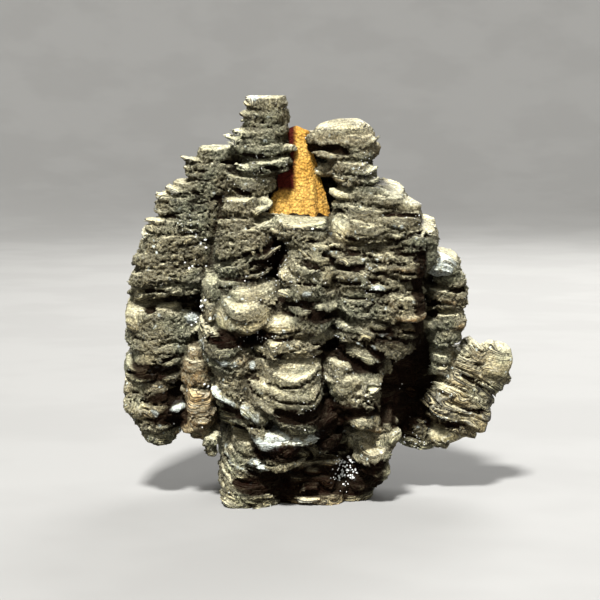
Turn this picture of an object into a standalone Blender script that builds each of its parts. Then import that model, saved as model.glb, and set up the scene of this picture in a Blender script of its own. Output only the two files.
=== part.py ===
"""Layered calcite with quartz: stacked calcite plates grown round an ochre crystal.

X runs to the right, Y to the back and Z up, with the origin in the middle of the cut
base. Every size in the tables below is in millimetres on the real specimen.
"""

import math
import random
import zlib

import bmesh
import bpy
from mathutils import Matrix, Vector

MM = 0.001

# Driving dimensions
LEDGE = 3.4            # usual thickness of one ledge of plates
BACK_LEDGE = 5.0       # coarser ledges on the back
HEART_LEDGE = 40.0     # the hidden middle has no ledges
GROOVE = 1.5           # how far the groove under a ledge goes in
FOOT_INSET = 0.9       # how far a lobe's lowest outline stays inside its rim
LIP_INSET = 0.1        # the same for the lower end of a rim
TOP_INSET = 0.8        # the same for a lobe's top outline
LIP_RISE = 0.24        # where a rim starts, as a share of the ledge's thickness
LIP_FALL = 0.16        # where it ends, as a share of the thickness below the top
SIDES = 12             # corners round a ledge
BACK_SIDES = 10
WANDER = 0.9           # how far one ledge's rim strays from its neighbours
UNEVEN = 0.14          # how far the height between two ledges strays, as a share of a ledge
WAVE = 0.04            # deepest wave in an outline, as a share of its radius
SHALLOW_WAVE = 0.01
SHAPE_WAVES = (2, 3, 5)    # waves round a lobe's outline that all its ledges share
LEDGE_WAVES = 4        # waves round one ledge's own outline
ROCK = 0.045           # most that one ledge tilts against its neighbours, as a slope
STACK_CORNERS = 2.5    # rounding of a flat stack's outline: 2 is an ellipse
SCALE_CORNERS = 2.1    # rounder outline of a scale that leans to the front
LEANING = 0.28         # rise to the back from which a lobe counts as a leaning scale
SHINGLE = 3.6          # height of one course of shingles
SHINGLE_LAP = 2.5      # how far a shingle reaches under its neighbour
SHINGLE_SHIFT = 0.22   # sideways shift of every other course, as a share of a shingle
SHINGLE_SWELL = 0.9    # how far the outer shingles stand back from the front
SHINGLE_STRAY = 1.0    # how far a joint between two shingles strays
FRONT_STRAY = 1.1      # how far a shingle's front strays
LIFT_STRAY = 0.9       # how far its height strays
SHINGLE_THICK = (0.95, 1.2)    # thinnest and thickest shingle, as shares of a course
POCKET_GAP = 0.3       # clearance between the ochre crystal and its pocket
SIDE_SPREAD = 1.2      # corners of the pocket move out by this many gaps
TIP_SPREAD = 1.5       # its tip moves up by this many gaps
CUT_HEIGHT = 1.6       # height in the tables where the base is cut, which becomes zero
BASE_SLAB = (200.0, 200.0, 12.0)    # size of the slab taken off under the base
KEPT_SHARE = 0.50      # share of the joined mass's triangles that its shape needs
SLIVER = 0.05          # shortest edge that the joined mass keeps

# Each lobe: name, (rise to the right, rise to the back), rows from foot to top.
# A row is (height, left, right, front, back), read at the middle of the lobe.
CROWN = [
    ("crown", (0.02, 0.05), [
        (91.5, -16.0, -4.5, -6.0, 9.0), (97.0, -15.6, -4.7, -6.0, 9.0), (101.0, -14.0, -6.2, -4.0, 7.0)]),
    ("crown_shelf", (0.06, 0.05), [
        (86.8, -19.0, -4.2, -8.0, 8.0), (92.6, -17.0, -6.2, -7.0, 8.0)]),
    ("window_shelf_high", (0.10, 0.10), [
        (82.4, -16.5, -4.5, -9.0, 6.0), (85.9, -14.5, -2.9, -9.0, 6.0)]),
    ("window_shelf_middle", (-0.04, 0.12), [
        (77.2, -20.5, -9.0, -10.0, 6.0), (81.8, -20.5, -8.0, -10.5, 6.0)]),
    ("window_shelf_low", (0.08, 0.12), [
        (69.0, -22.0, -11.5, -12.0, 6.0), (76.4, -21.5, -12.0, -11.0, 6.0)]),
    ("pillar", (0.0, 0.0), [
        (52.0, -24.0, -11.0, -7.0, 10.0), (70.0, -20.0, -12.5, -7.0, 10.0),
        (94.0, -16.0, -8.5, -3.0, 8.0)]),
]

LEFT_SIDE = [
    ("left_knob", (-0.03, 0.12), [
        (78.0, -31.0, -17.0, -4.0, 10.0), (84.0, -30.2, -17.0, -4.5, 10.0),
        (88.4, -26.0, -18.0, -3.0, 7.0)]),
    ("left_stack", (0.05, 0.10), [
        (69.6, -38.0, -19.0, -7.0, 11.0), (75.0, -37.8, -19.0, -7.0, 11.0),
        (80.0, -31.5, -19.0, -5.0, 10.0)]),
    ("left_terrace_high", (0.22, 0.12), [
        (62.0, -43.5, -22.5, -9.0, 11.0), (67.0, -42.8, -22.5, -9.0, 11.0),
        (70.6, -39.5, -23.0, -7.0, 9.0)]),
    ("left_terrace_low", (0.14, 0.12), [
        (52.8, -44.0, -23.5, -9.0, 11.0), (57.0, -45.0, -23.5, -10.0, 11.0),
        (62.8, -43.8, -23.0, -9.0, 11.0)]),
    ("left_bridge", (0.0, 0.0), [
        (44.0, -42.5, -22.0, -3.0, 10.0), (58.0, -42.0, -22.0, -3.0, 10.0)]),
    ("left_scales", (0.0, 0.30), [
        (40.8, -45.5, -26.0, -9.0, 10.0), (45.0, -46.3, -26.0, -10.0, 10.0),
        (50.0, -45.0, -27.0, -8.0, 8.0)]),
    ("left_brow", (0.02, 0.35), [
        (33.2, -46.0, -36.0, -9.0, 9.0), (37.0, -46.0, -32.5, -11.0, 9.0),
        (40.6, -44.5, -31.5, -8.0, 9.0)]),
    ("left_hood", (-0.10, 0.30), [
        (37.5, -41.0, -31.0, -11.5, 6.0), (41.5, -40.0, -31.0, -9.5, 6.0)]),
    ("left_cheek", (0.0, 0.30), [
        (25.3, -45.5, -32.5, -9.5, 9.0), (29.0, -46.3, -31.8, -10.5, 9.0),
        (32.2, -45.8, -35.0, -9.0, 9.0)]),
    ("left_sill", (0.08, 0.30), [
        (21.8, -41.5, -31.0, -11.5, 7.0), (24.4, -41.5, -31.0, -11.0, 7.0)]),
    ("left_foot", (-0.05, 0.30), [
        (17.4, -42.0, -32.5, -7.0, 8.0), (20.0, -44.0, -31.5, -9.0, 9.0), (23.6, -45.0, -33.0, -8.5, 9.0)]),
    ("left_column", (0.0, 0.0), [
        (18.5, -42.5, -28.0, -4.5, 9.0), (41.5, -43.5, -27.0, -4.5, 9.0)]),
    ("brown_column", (0.0, 0.25), [
        (17.6, -30.0, -23.5, -9.0, 8.0), (23.0, -31.6, -22.0, -12.0, 8.0),
        (33.0, -31.8, -22.0, -13.0, 8.0), (42.0, -30.0, -23.0, -11.0, 8.0)]),
    ("flake", (0.10, 0.20), [
        (12.4, -25.8, -22.0, -13.0, -5.0), (17.6, -26.2, -21.0, -13.5, -4.0)]),
]

MIDDLE = [
    ("middle_shelf_high", (0.16, 0.15), [
        (63.6, -24.3, -7.4, -14.5, 6.0), (67.0, -24.0, -7.0, -14.5, 6.0), (70.4, -23.0, -9.0, -12.5, 6.0)]),
    ("middle_shelf_mid", (0.20, 0.10), [
        (59.0, -24.6, -7.4, -14.5, 6.0), (62.6, -24.6, -7.4, -15.0, 6.0)]),
    ("middle_shelf_low", (0.12, 0.10), [
        (54.2, -24.6, -10.5, -14.5, 6.0), (58.0, -24.6, -10.0, -15.5, 6.0)]),
    ("knuckle", (0.0, 0.40), [
        (49.5, -26.2, -20.5, -17.0, -2.0), (58.0, -25.6, -21.0, -16.0, -2.0)]),
    ("high_coin", (0.04, 0.56), [
        (49.0, -21.5, -8.0, -21.0, -4.0), (54.2, -23.2, -7.6, -22.0, -4.0)]),
    ("low_coin", (0.05, 0.54), [
        (42.4, -26.0, -14.0, -20.5, -4.0), (47.2, -26.6, -15.5, -21.5, -4.0)]),
    ("coin_under", (0.10, 0.35), [
        (38.0, -25.0, -11.0, -18.5, -2.0), (42.6, -25.5, -12.0, -19.5, -2.0)]),
    ("window_sill", (0.0, 0.22), [
        (66.4, -10.0, 6.0, -15.5, 4.0), (71.2, -9.0, 5.6, -14.5, 1.0)]),
    ("collar", (-0.06, 0.35), [
        (60.6, -6.0, 10.0, -18.5, 4.0), (67.2, -5.5, 9.0, -17.0, 4.0)]),
    ("middle_bulge", (-0.10, 0.45), [
        (53.4, -7.2, 4.5, -20.5, 2.0), (59.0, -7.5, 5.2, -21.0, 2.0), (64.2, -6.0, 4.5, -18.5, 2.0)]),
    ("middle_plate", (0.0, 0.40), [
        (48.2, -7.8, 7.6, -21.5, 2.0), (54.0, -8.4, 6.4, -21.5, 2.0)]),
    ("small_plate", (0.18, 0.45), [
        (42.8, -12.0, -3.0, -22.5, -2.0), (46.8, -10.5, -1.8, -22.5, -2.0)]),
    ("thin_ledges", (0.08, 0.30), [
        (37.2, -14.5, 1.0, -20.5, 0.0), (41.0, -15.0, 5.2, -21.5, 0.0), (44.8, -6.0, 6.4, -20.5, 0.0)]),
    ("great_plate", (0.0, 0.50), [
        (27.4, -9.5, 3.0, -24.5, -2.0), (31.0, -14.6, 3.4, -26.5, -2.0),
        (35.5, -15.8, 3.2, -26.5, -2.0), (38.8, -9.0, 2.6, -23.0, -2.0)]),
    ("great_rim", (0.05, 0.35), [
        (23.4, -8.5, 4.4, -23.0, -2.0), (27.6, -9.6, 5.2, -25.0, -2.0)]),
    ("bright_plate_high", (-0.28, 0.30), [
        (33.6, -23.2, -13.0, -20.0, -3.0), (38.0, -25.8, -13.0, -20.5, -3.0),
        (42.2, -26.0, -18.0, -17.5, -3.0)]),
    ("bright_plate_low", (-0.34, 0.35), [
        (25.0, -22.0, -12.0, -20.5, -3.0), (30.0, -24.2, -13.0, -21.5, -3.0),
        (33.6, -22.5, -14.0, -20.0, -3.0)]),
    ("brown_shingles", (-0.40, 0.30), [
        (19.6, -15.8, -6.0, -21.5, -2.0), (24.0, -17.5, -7.5, -22.5, -2.0),
        (28.4, -16.5, -9.0, -21.5, -2.0)]),
    ("fan", (-0.32, 0.35), [
        (25.6, 6.5, 17.0, -21.5, 0.0), (29.5, 3.8, 18.6, -22.5, 0.0),
        (33.5, 3.2, 14.5, -21.5, 0.0), (38.4, 3.2, 9.0, -19.5, 0.0)]),
    ("white_lip", (0.10, 0.40), [
        (14.6, -12.5, -1.0, -22.0, -2.0), (18.5, -15.0, 2.2, -25.0, -2.0),
        (22.0, -11.0, 2.8, -24.0, -2.0)]),
    ("ragged_link", (0.28, 0.30), [
        (18.6, 0.5, 8.4, -19.5, 0.0), (27.2, 1.5, 9.4, -20.0, 0.0)]),
    ("sandy_fan", (0.06, 0.40), [
        (11.4, 10.5, 18.8, -17.5, 3.0), (14.5, 9.2, 20.6, -19.5, 3.0), (18.4, 10.0, 22.2, -19.0, 3.0)]),
    ("sandy_scale", (0.10, 0.35), [
        (19.2, 14.0, 22.0, -17.0, 3.0), (24.6, 15.5, 21.2, -15.0, 3.0)]),
]

RIGHT_SIDE = [
    ("right_crown", (-0.04, 0.10), [
        (86.8, 0.6, 16.8, -8.0, 10.0), (90.0, -1.2, 17.2, -8.5, 10.0),
        (93.0, -0.2, 16.0, -8.0, 10.0), (96.4, 4.0, 13.2, -5.5, 8.0)]),
    ("right_shelf", (-0.06, 0.15), [
        (80.2, 6.0, 16.8, -8.5, 10.0), (83.2, 2.0, 16.5, -9.5, 10.0), (85.8, 7.5, 16.4, -8.0, 10.0)]),
    ("right_stem", (0.0, 0.0), [
        (60.0, 4.0, 22.0, -4.0, 10.0), (78.0, 7.0, 17.2, -3.0, 10.0), (94.0, 5.0, 14.0, -3.0, 8.0)]),
    ("right_link", (0.0, 0.12), [
        (75.8, 7.5, 19.0, -8.5, 10.0), (79.6, 9.0, 17.8, -7.5, 10.0)]),
    ("right_shoulder_high", (-0.10, 0.25), [
        (71.4, 6.5, 30.6, -11.0, 10.0), (75.0, 6.0, 28.0, -11.5, 10.0), (78.6, 10.5, 21.0, -8.5, 9.0)]),
    ("right_column_cap", (-0.25, 0.15), [
        (54.6, 30.0, 39.6, -4.5, 11.0), (57.8, 30.0, 39.3, -4.5, 11.0), (61.6, 30.6, 36.4, -3.5, 8.0)]),
    ("right_column_high", (-0.05, 0.15), [
        (48.6, 29.0, 39.4, -4.5, 11.0), (54.0, 28.4, 39.6, -5.5, 11.0)]),
    ("right_column_low", (0.05, 0.20), [
        (39.8, 30.2, 37.8, -4.5, 9.0), (43.6, 29.0, 39.2, -5.0, 9.0), (47.6, 31.0, 39.4, -4.5, 9.0)]),
    ("right_column_foot", (0.0, 0.20), [
        (32.8, 29.0, 36.2, -3.5, 9.0), (38.0, 28.6, 36.8, -4.0, 9.0)]),
    ("right_back_column", (0.0, 0.0), [
        (28.0, 24.0, 36.0, 0.0, 11.0), (59.0, 24.0, 36.0, 0.0, 9.0)]),
    ("wing_toe", (0.0, 0.30), [
        (13.8, 29.0, 36.4, -3.0, 8.0), (17.4, 29.0, 37.0, -3.5, 8.0)]),
    ("wing_root", (-0.20, 0.20), [
        (13.4, 22.0, 31.0, -2.0, 12.0), (24.8, 20.0, 33.0, -1.0, 12.0)]),
]

# Broad masses made of courses of overlapping shingles: name, slopes, shingles in a
# course, rows from foot to top.
SHINGLED = [
    ("shoulder", (-0.12, 0.28), 2, [
        (63.0, 6.0, 31.5, -14.0, 6.0), (67.0, 4.6, 32.6, -14.5, 6.0), (71.8, 5.0, 31.4, -12.5, 6.0)]),
    ("mass", (-0.20, 0.32), 2, [
        (35.0, 9.5, 19.0, -17.0, 4.0), (40.0, 6.5, 23.6, -18.0, 4.0), (48.0, 5.6, 28.6, -18.5, 4.0),
        (56.0, 4.8, 29.0, -18.5, 4.0), (64.0, 4.6, 29.6, -15.5, 4.0)]),
]

BASE = [
    ("base_left", (-0.18, 0.18), [
        (-3.0, -20.0, -7.0, -20.0, 10.0), (3.0, -21.6, -6.0, -21.0, 10.0),
        (8.0, -22.2, -5.0, -20.5, 10.0), (14.0, -21.6, -5.0, -19.0, 10.0),
        (19.4, -19.5, -6.0, -18.0, 10.0)]),
    ("base_middle", (0.0, 0.12), [
        (-3.0, -9.0, 9.0, -15.5, 16.0), (4.0, -9.0, 10.5, -17.5, 16.0), (13.0, -7.0, 9.5, -14.5, 14.0)]),
    ("base_right", (0.06, 0.12), [
        (2.0, 6.0, 14.5, -12.5, 12.0), (6.0, 6.0, 19.8, -14.0, 12.0),
        (9.5, 7.0, 21.2, -13.5, 12.0), (13.6, 8.0, 20.8, -12.5, 12.0)]),
]

HEART = [
    ("heart_low", (0.0, 0.0), [
        (-3.0, -15.0, 11.0, -9.0, 16.0), (20.0, -24.0, 22.0, -10.0, 16.0),
        (40.0, -28.0, 28.0, -8.0, 16.0)]),
    ("heart_high", (0.0, 0.0), [
        (38.0, -30.0, 30.0, -8.0, 16.0), (56.0, -30.0, 28.0, -6.0, 15.0), (69.0, -24.0, 22.0, -5.0, 13.0)]),
    ("shadow_wall", (0.0, 0.0), [
        (16.0, 8.0, 30.0, 1.0, 14.0), (42.0, 10.0, 33.0, 0.0, 14.0)]),
]

BACK = [
    ("back_crown", (0.05, -0.10), [
        (74.0, -18.0, 15.0, 6.0, 18.0), (84.0, -16.0, 13.0, 6.0, 16.0), (89.5, -14.0, 11.0, 5.0, 13.0)]),
    ("back_crown_left", (0.05, -0.10), [
        (86.0, -16.0, -5.0, 5.0, 14.0), (97.5, -13.5, -6.5, 4.0, 10.5)]),
    ("back_left_high", (0.10, -0.15), [
        (64.0, -37.0, -14.0, 4.0, 19.0), (76.0, -35.0, -14.0, 4.0, 18.0), (84.0, -29.0, -16.0, 4.0, 14.0)]),
    ("back_left_middle", (0.12, -0.20), [
        (46.0, -42.5, -18.0, 4.0, 20.0), (58.0, -42.0, -18.0, 4.0, 22.0), (67.0, -39.0, -18.0, 4.0, 19.0)]),
    ("back_left_low", (0.0, -0.25), [
        (21.0, -39.0, -18.0, 4.0, 16.0), (34.0, -43.0, -18.0, 4.0, 19.0), (46.5, -42.0, -18.0, 4.0, 19.0)]),
    ("back_middle_high", (0.0, -0.20), [
        (56.0, -20.0, 10.0, 8.0, 25.0), (68.0, -19.0, 11.0, 8.0, 24.0), (80.0, -14.0, 9.0, 6.0, 20.0)]),
    ("back_middle", (-0.08, -0.30), [
        (33.0, -22.0, 9.0, 8.0, 28.0), (45.0, -23.0, 10.0, 8.0, 29.0), (57.0, -20.0, 9.0, 8.0, 27.0)]),
    ("back_middle_low", (0.08, -0.35), [
        (10.0, -21.0, 7.0, 6.0, 24.0), (22.0, -23.0, 8.0, 6.0, 28.0), (34.5, -21.0, 7.0, 6.0, 27.0)]),
    ("back_foot", (0.0, 0.0), [
        (-3.0, -19.0, 13.0, 4.0, 22.0), (6.0, -20.0, 15.0, 4.0, 24.0), (12.0, -19.0, 14.0, 4.0, 23.0)]),
    ("back_right_high", (-0.12, -0.15), [
        (60.0, 7.0, 31.0, 4.0, 20.0), (70.0, 7.0, 29.0, 4.0, 20.0), (79.0, 7.0, 22.0, 4.0, 16.0)]),
    ("back_right_middle", (-0.10, -0.25), [
        (40.0, 6.0, 35.0, 4.0, 23.0), (52.0, 6.0, 36.5, 4.0, 24.0), (61.5, 7.0, 33.0, 4.0, 21.0)]),
    ("back_right_low", (-0.05, -0.30), [
        (17.0, 4.0, 29.0, 4.0, 20.0), (29.0, 4.0, 34.0, 4.0, 23.0), (41.5, 5.0, 35.0, 4.0, 23.0)]),
]

# The wing at the right is a fan of plates that dips to the right: name, place of the
# fan's middle, dip in degrees, rows along the plates' own normal.
WING = [
    ("wing_upper", (42.0, 2.0, 31.4), 43.0, [
        (-8.0, -6.5, 6.0, -5.0, 8.0), (-3.0, -9.0, 8.8, -6.0, 9.0),
        (3.5, -8.6, 8.8, -5.5, 9.0), (6.0, -7.5, 8.0, -5.0, 8.0)]),
    ("wing_tip", (45.4, 2.0, 37.2), 43.0, [
        (-2.0, -3.6, 5.4, -5.0, 8.0), (2.0, -3.2, 4.8, -4.5, 7.0)]),
    ("wing_lower", (36.5, 1.0, 23.2), 22.0, [
        (-5.0, -6.0, 7.0, -5.0, 9.0), (-1.0, -8.5, 9.4, -6.5, 9.0),
        (4.0, -9.0, 9.0, -6.0, 9.0), (7.0, -7.0, 4.0, -4.5, 9.0)]),
]

# The ochre crystal: corners (x, y) of its six-sided section, counter-clockwise from the
# front left, at its foot and just below its blunt tip
CRYSTAL_FOOT = [(-12.0, -3.2), (1.2, -5.6), (8.2, -0.5), (6.0, 8.0), (-6.0, 9.5), (-14.0, 4.0)]
CRYSTAL_TOP = [(-6.3, 0.6), (-1.0, 0.0), (0.4, 1.6), (-0.4, 4.4), (-4.4, 4.8), (-7.2, 3.0)]
CRYSTAL_FOOT_HEIGHT = 62.0
CRYSTAL_TOP_HEIGHT = 91.6
CRYSTAL_TIP = (-3.2, 2.4, 93.6)

COLOURS = {
    "layered_calcite": ((0.205, 0.175, 0.115), 0.62),
    "ochre_crystal": ((0.60, 0.33, 0.085), 0.80),
}


def new_collection(name):
    """Make a collection and link it to the scene."""
    made = bpy.data.collections.new(name)
    bpy.context.scene.collection.children.link(made)
    return made


def material(name):
    """A plain finish in the piece's own colour."""
    colour, roughness = COLOURS[name]
    made = bpy.data.materials.new(name)
    made.use_nodes = True
    shader = made.node_tree.nodes["Principled BSDF"]
    shader.inputs["Base Color"].default_value = (*colour, 1.0)
    shader.inputs["Roughness"].default_value = roughness
    shader.inputs["Metallic"].default_value = 0.0
    return made


def mesh_object(name, points, faces, collection):
    """Turn points in millimetres and faces into an object that stands on the cut base."""
    mesh = bpy.data.meshes.new(name)
    lowered = Vector((0, 0, CUT_HEIGHT))
    mesh.from_pydata([(Vector(point) - lowered) * MM for point in points], [], faces)
    mesh.validate()
    made = bpy.data.objects.new(name, mesh)
    collection.objects.link(made)
    return made


def section_at(rows, height):
    """The left, right, front and back of a lobe at a height, between its rows."""
    if height <= rows[0][0]:
        return rows[0][1:]
    for low, high in zip(rows, rows[1:]):
        if height <= high[0]:
            share = (height - low[0]) / (high[0] - low[0])
            return tuple(a + (b - a) * share for a, b in zip(low[1:], high[1:]))
    return rows[-1][1:]


def ledge_sections(rows, ledge, dice):
    """Cut a lobe into ledges: (foot height, top height, strayed section) for each."""
    foot, top = rows[0][0], rows[-1][0]
    count = max(1, round((top - foot) / ledge))
    edges = [foot + (top - foot) * step / count for step in range(count + 1)]
    for step in range(1, count):
        edges[step] += dice.uniform(-UNEVEN, UNEVEN) * ledge
    ledges = []
    for low, high in zip(edges, edges[1:]):
        section = section_at(rows, (low + high) / 2)
        ledges.append((low, high, tuple(side + dice.uniform(-WANDER, WANDER) for side in section)))
    return ledges


def ring(section, height, inset, sides, corners, waves, rock):
    """One closed outline of a ledge: a rounded box whose rim waves in and out."""
    left, right, front, back = section
    middle = Vector(((left + right) / 2, (front + back) / 2, height))
    half_wide = (right - left) / 2 - inset
    half_deep = (back - front) / 2 - inset
    points = []
    for step in range(sides):
        angle = 2 * math.pi * step / sides
        across, along = math.cos(angle), math.sin(angle)
        reach = (abs(across) ** corners + abs(along) ** corners) ** (-1 / corners)
        reach *= 1 + sum(size * math.sin(turns * angle + phase) for turns, size, phase in waves)
        across *= half_wide * reach
        along *= half_deep * reach
        points.append(middle + Vector((across, along, rock[0] * across + rock[1] * along)))
    return points


def lobe_mesh(name, rows, ledge, sides, corners):
    """Points and faces of one lobe: a loft up through the rims and grooves of its ledges."""
    dice = random.Random(zlib.crc32(name.encode()))
    ledges = ledge_sections(rows, ledge, dice)
    shape = [(turns, dice.uniform(SHALLOW_WAVE, WAVE), dice.uniform(0, 2 * math.pi))
             for turns in SHAPE_WAVES]
    level = (0.0, 0.0)
    rings = []
    for number, (low, high, section) in enumerate(ledges):
        thick = high - low
        waves = shape + [(LEDGE_WAVES, dice.uniform(0.0, WAVE), dice.uniform(0, 2 * math.pi))]
        rock = (dice.uniform(-ROCK, ROCK), dice.uniform(-ROCK, ROCK))
        if number == 0:
            rings.append(ring(section, low, FOOT_INSET, sides, corners, waves, rock))
        else:
            rings.append(ring(section, low, GROOVE, sides, corners, shape, level))
        rings.append(ring(section, low + LIP_RISE * thick, LIP_INSET, sides, corners, waves, rock))
        rings.append(ring(section, high - LIP_FALL * thick, 0.0, sides, corners, waves, rock))
    rings.append(ring(section, high, TOP_INSET, sides, corners, waves, rock))
    points = [point for outline in rings for point in outline]
    faces = [tuple(reversed(range(sides)))]
    for lower in range(len(rings) - 1):
        for step in range(sides):
            here, after = lower * sides + step, lower * sides + (step + 1) % sides
            faces.append((here, after, after + sides, here + sides))
    faces.append(tuple(range((len(rings) - 1) * sides, len(rings) * sides)))
    return points, faces


def slanted(points, slope, rows):
    """Tilt a lobe's plates by raising points to the right and to the back."""
    left, right, front, back = rows[len(rows) // 2][1:]
    across, along = (left + right) / 2, (front + back) / 2
    return [point + Vector((0, 0, slope[0] * (point.x - across) + slope[1] * (point.y - along)))
            for point in points]


def shingles(name, slope, count, rows):
    """Break a broad mass into courses of shingles, each a small lobe of its own."""
    dice = random.Random(zlib.crc32(name.encode()))
    foot, top = rows[0][0], rows[-1][0]
    courses = round((top - foot) / SHINGLE)
    middle = (rows[-1][1] + rows[-1][2]) / 2
    made = []
    for course in range(courses):
        low = foot + (top - foot) * course / courses
        left, right, front, back = section_at(rows, low + SHINGLE / 2)
        edges = [left + (right - left) * step / count for step in range(count + 1)]
        shift = (right - left) / count * (SHINGLE_SHIFT if course % 2 else -SHINGLE_SHIFT)
        edges[1:-1] = [edge + shift + dice.uniform(-SHINGLE_STRAY, SHINGLE_STRAY) for edge in edges[1:-1]]
        for step in range(count):
            one_left = edges[step] - (SHINGLE_LAP if step else 0.0)
            one_right = edges[step + 1] + (SHINGLE_LAP if step < count - 1 else 0.0)
            set_back = SHINGLE_SWELL * abs(step - (count - 1) / 2) + dice.uniform(-FRONT_STRAY, FRONT_STRAY)
            lift = slope[0] * ((one_left + one_right) / 2 - middle) + dice.uniform(-LIFT_STRAY, LIFT_STRAY)
            section = (one_left, one_right, front + set_back, back)
            thick = SHINGLE * dice.uniform(*SHINGLE_THICK)
            made.append((f"{name}_{course}_{step}", slope, [
                (low + lift, *section), (low + lift + thick, *section)]))
    return made


def calcite_lobes(collection):
    """Make every lobe of the calcite as a closed solid."""
    courses = [lobe for mass in SHINGLED for lobe in shingles(*mass)]
    groups = [(CROWN + LEFT_SIDE + MIDDLE + RIGHT_SIDE + BASE, LEDGE, SIDES),
              (courses, SHINGLE, BACK_SIDES), (HEART, HEART_LEDGE, BACK_SIDES),
              (BACK, BACK_LEDGE, BACK_SIDES)]
    for lobes, ledge, sides in groups:
        for name, slope, rows in lobes:
            corners = SCALE_CORNERS if slope[1] >= LEANING else STACK_CORNERS
            points, faces = lobe_mesh(name, rows, ledge, sides, corners)
            mesh_object(name, slanted(points, slope, rows), faces, collection)
    for name, place, dip, rows in WING:
        points, faces = lobe_mesh(name, rows, LEDGE, SIDES, SCALE_CORNERS)
        turn = Matrix.Rotation(math.radians(dip), 3, "Y")
        mesh_object(name, [turn @ point + Vector(place) for point in points], faces, collection)


def crystal_mesh(gap):
    """The ochre crystal: a steep six-sided pyramid with a blunt tip, grown by a gap."""
    def grown(corners):
        middle = sum((Vector(corner) for corner in corners), Vector((0, 0))) / len(corners)
        spread = gap * SIDE_SPREAD
        return [Vector(corner) + (Vector(corner) - middle).normalized() * spread for corner in corners]
    count = len(CRYSTAL_FOOT)
    points = [(*corner, CRYSTAL_FOOT_HEIGHT - gap) for corner in grown(CRYSTAL_FOOT)]
    points += [(*corner, CRYSTAL_TOP_HEIGHT + gap) for corner in grown(CRYSTAL_TOP)]
    points.append((CRYSTAL_TIP[0], CRYSTAL_TIP[1], CRYSTAL_TIP[2] + gap * TIP_SPREAD))
    faces = [tuple(reversed(range(count)))]
    for step in range(count):
        after = (step + 1) % count
        faces.append((step, after, after + count, step + count))
        faces.append((step + count, after + count, 2 * count))
    return points, faces


def drop_flaps(shell):
    """Remove faces that hang on by one edge, and whatever they leave loose."""
    flaps = [face for face in shell.faces if any(len(edge.link_faces) == 1 for edge in face.edges)]
    while flaps:
        bmesh.ops.delete(shell, geom=flaps, context="FACES")
        flaps = [face for face in shell.faces if any(len(edge.link_faces) == 1 for edge in face.edges)]
    bmesh.ops.delete(shell, geom=[edge for edge in shell.edges if not edge.link_faces], context="EDGES")
    bmesh.ops.delete(shell, geom=[vert for vert in shell.verts if not vert.link_faces], context="VERTS")


def keep_outer_skin(shell):
    """Remove closed hollows and loose crumbs: only the largest body of faces stays."""
    unseen = set(shell.faces)
    bodies = []
    while unseen:
        front = [unseen.pop()]
        body = list(front)
        while front:
            for edge in front.pop().edges:
                for face in edge.link_faces:
                    if face in unseen:
                        unseen.remove(face)
                        front.append(face)
                        body.append(face)
        bodies.append(body)
    bodies.sort(key=len, reverse=True)
    spare = [face for body in bodies[1:] for face in body]
    bmesh.ops.delete(shell, geom=spare, context="FACES")


def bake_modifiers(target):
    """Turn the modifiers' result into the target's own clean mesh of triangles."""
    bpy.context.view_layer.update()
    seen = bpy.context.evaluated_depsgraph_get()
    grown = bpy.data.meshes.new_from_object(target.evaluated_get(seen), depsgraph=seen)
    shell = bmesh.new()
    shell.from_mesh(grown)
    bmesh.ops.triangulate(shell, faces=shell.faces)
    bmesh.ops.dissolve_degenerate(shell, dist=SLIVER * MM, edges=shell.edges)
    bmesh.ops.triangulate(shell, faces=shell.faces)
    drop_flaps(shell)
    keep_outer_skin(shell)
    shell.to_mesh(grown)
    shell.free()
    target.modifiers.clear()
    target.data = grown


def add_boolean(target, operation, operand=None, collection=None):
    """Join or cut the target with one object or with a whole collection."""
    step = target.modifiers.new(operation.lower(), "BOOLEAN")
    step.operation = operation
    step.solver = "EXACT"
    if collection:
        step.operand_type = "COLLECTION"
        step.collection = collection
    else:
        step.object = operand


def build():
    """Make the whole specimen."""
    for old in list(bpy.data.objects):
        bpy.data.objects.remove(old)
    pieces = new_collection("layered_calcite_with_quartz")
    lobes = new_collection("lobes")
    cutters = new_collection("cutters")

    calcite_lobes(lobes)
    heart = lobes.objects["heart_low"]
    lobes.objects.unlink(heart)
    pieces.objects.link(heart)
    heart.name = "layered_calcite"
    add_boolean(heart, "UNION", collection=lobes)
    thinning = heart.modifiers.new("thinning", "DECIMATE")
    thinning.ratio = KEPT_SHARE
    bake_modifiers(heart)

    points, faces = crystal_mesh(POCKET_GAP)
    pocket = mesh_object("pocket", points, faces, cutters)
    add_boolean(heart, "DIFFERENCE", operand=pocket)
    bpy.ops.mesh.primitive_cube_add(size=1)
    slab = bpy.context.object
    slab.name = "base_slab"
    for owner in list(slab.users_collection):
        owner.objects.unlink(slab)
    cutters.objects.link(slab)
    slab.scale = Vector(BASE_SLAB) * MM
    slab.location = (0, 0, -BASE_SLAB[2] * MM / 2)
    add_boolean(heart, "DIFFERENCE", operand=slab)

    bake_modifiers(heart)
    for spent in list(lobes.objects) + list(cutters.objects):
        bpy.data.objects.remove(spent)

    points, faces = crystal_mesh(0.0)
    crystal = mesh_object("ochre_crystal", points, faces, pieces)
    for piece in (heart, crystal):
        piece.data.materials.clear()
        piece.data.materials.append(material(piece.name))
    print("calcite triangles", len(heart.data.polygons))


build()
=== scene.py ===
# %% [markdown]
# # Layered calcite with quartz
# The real thing is a hand-sized mass of very thin calcite plates. They grew in parallel
# stacks, shelves and round scales round one steep ochre crystal, which shows in a window
# near the top, and tiny quartz points glitter on them. The lesson starts from the packed
# model, because every later piece has to keep to its box and its frame.

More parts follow.
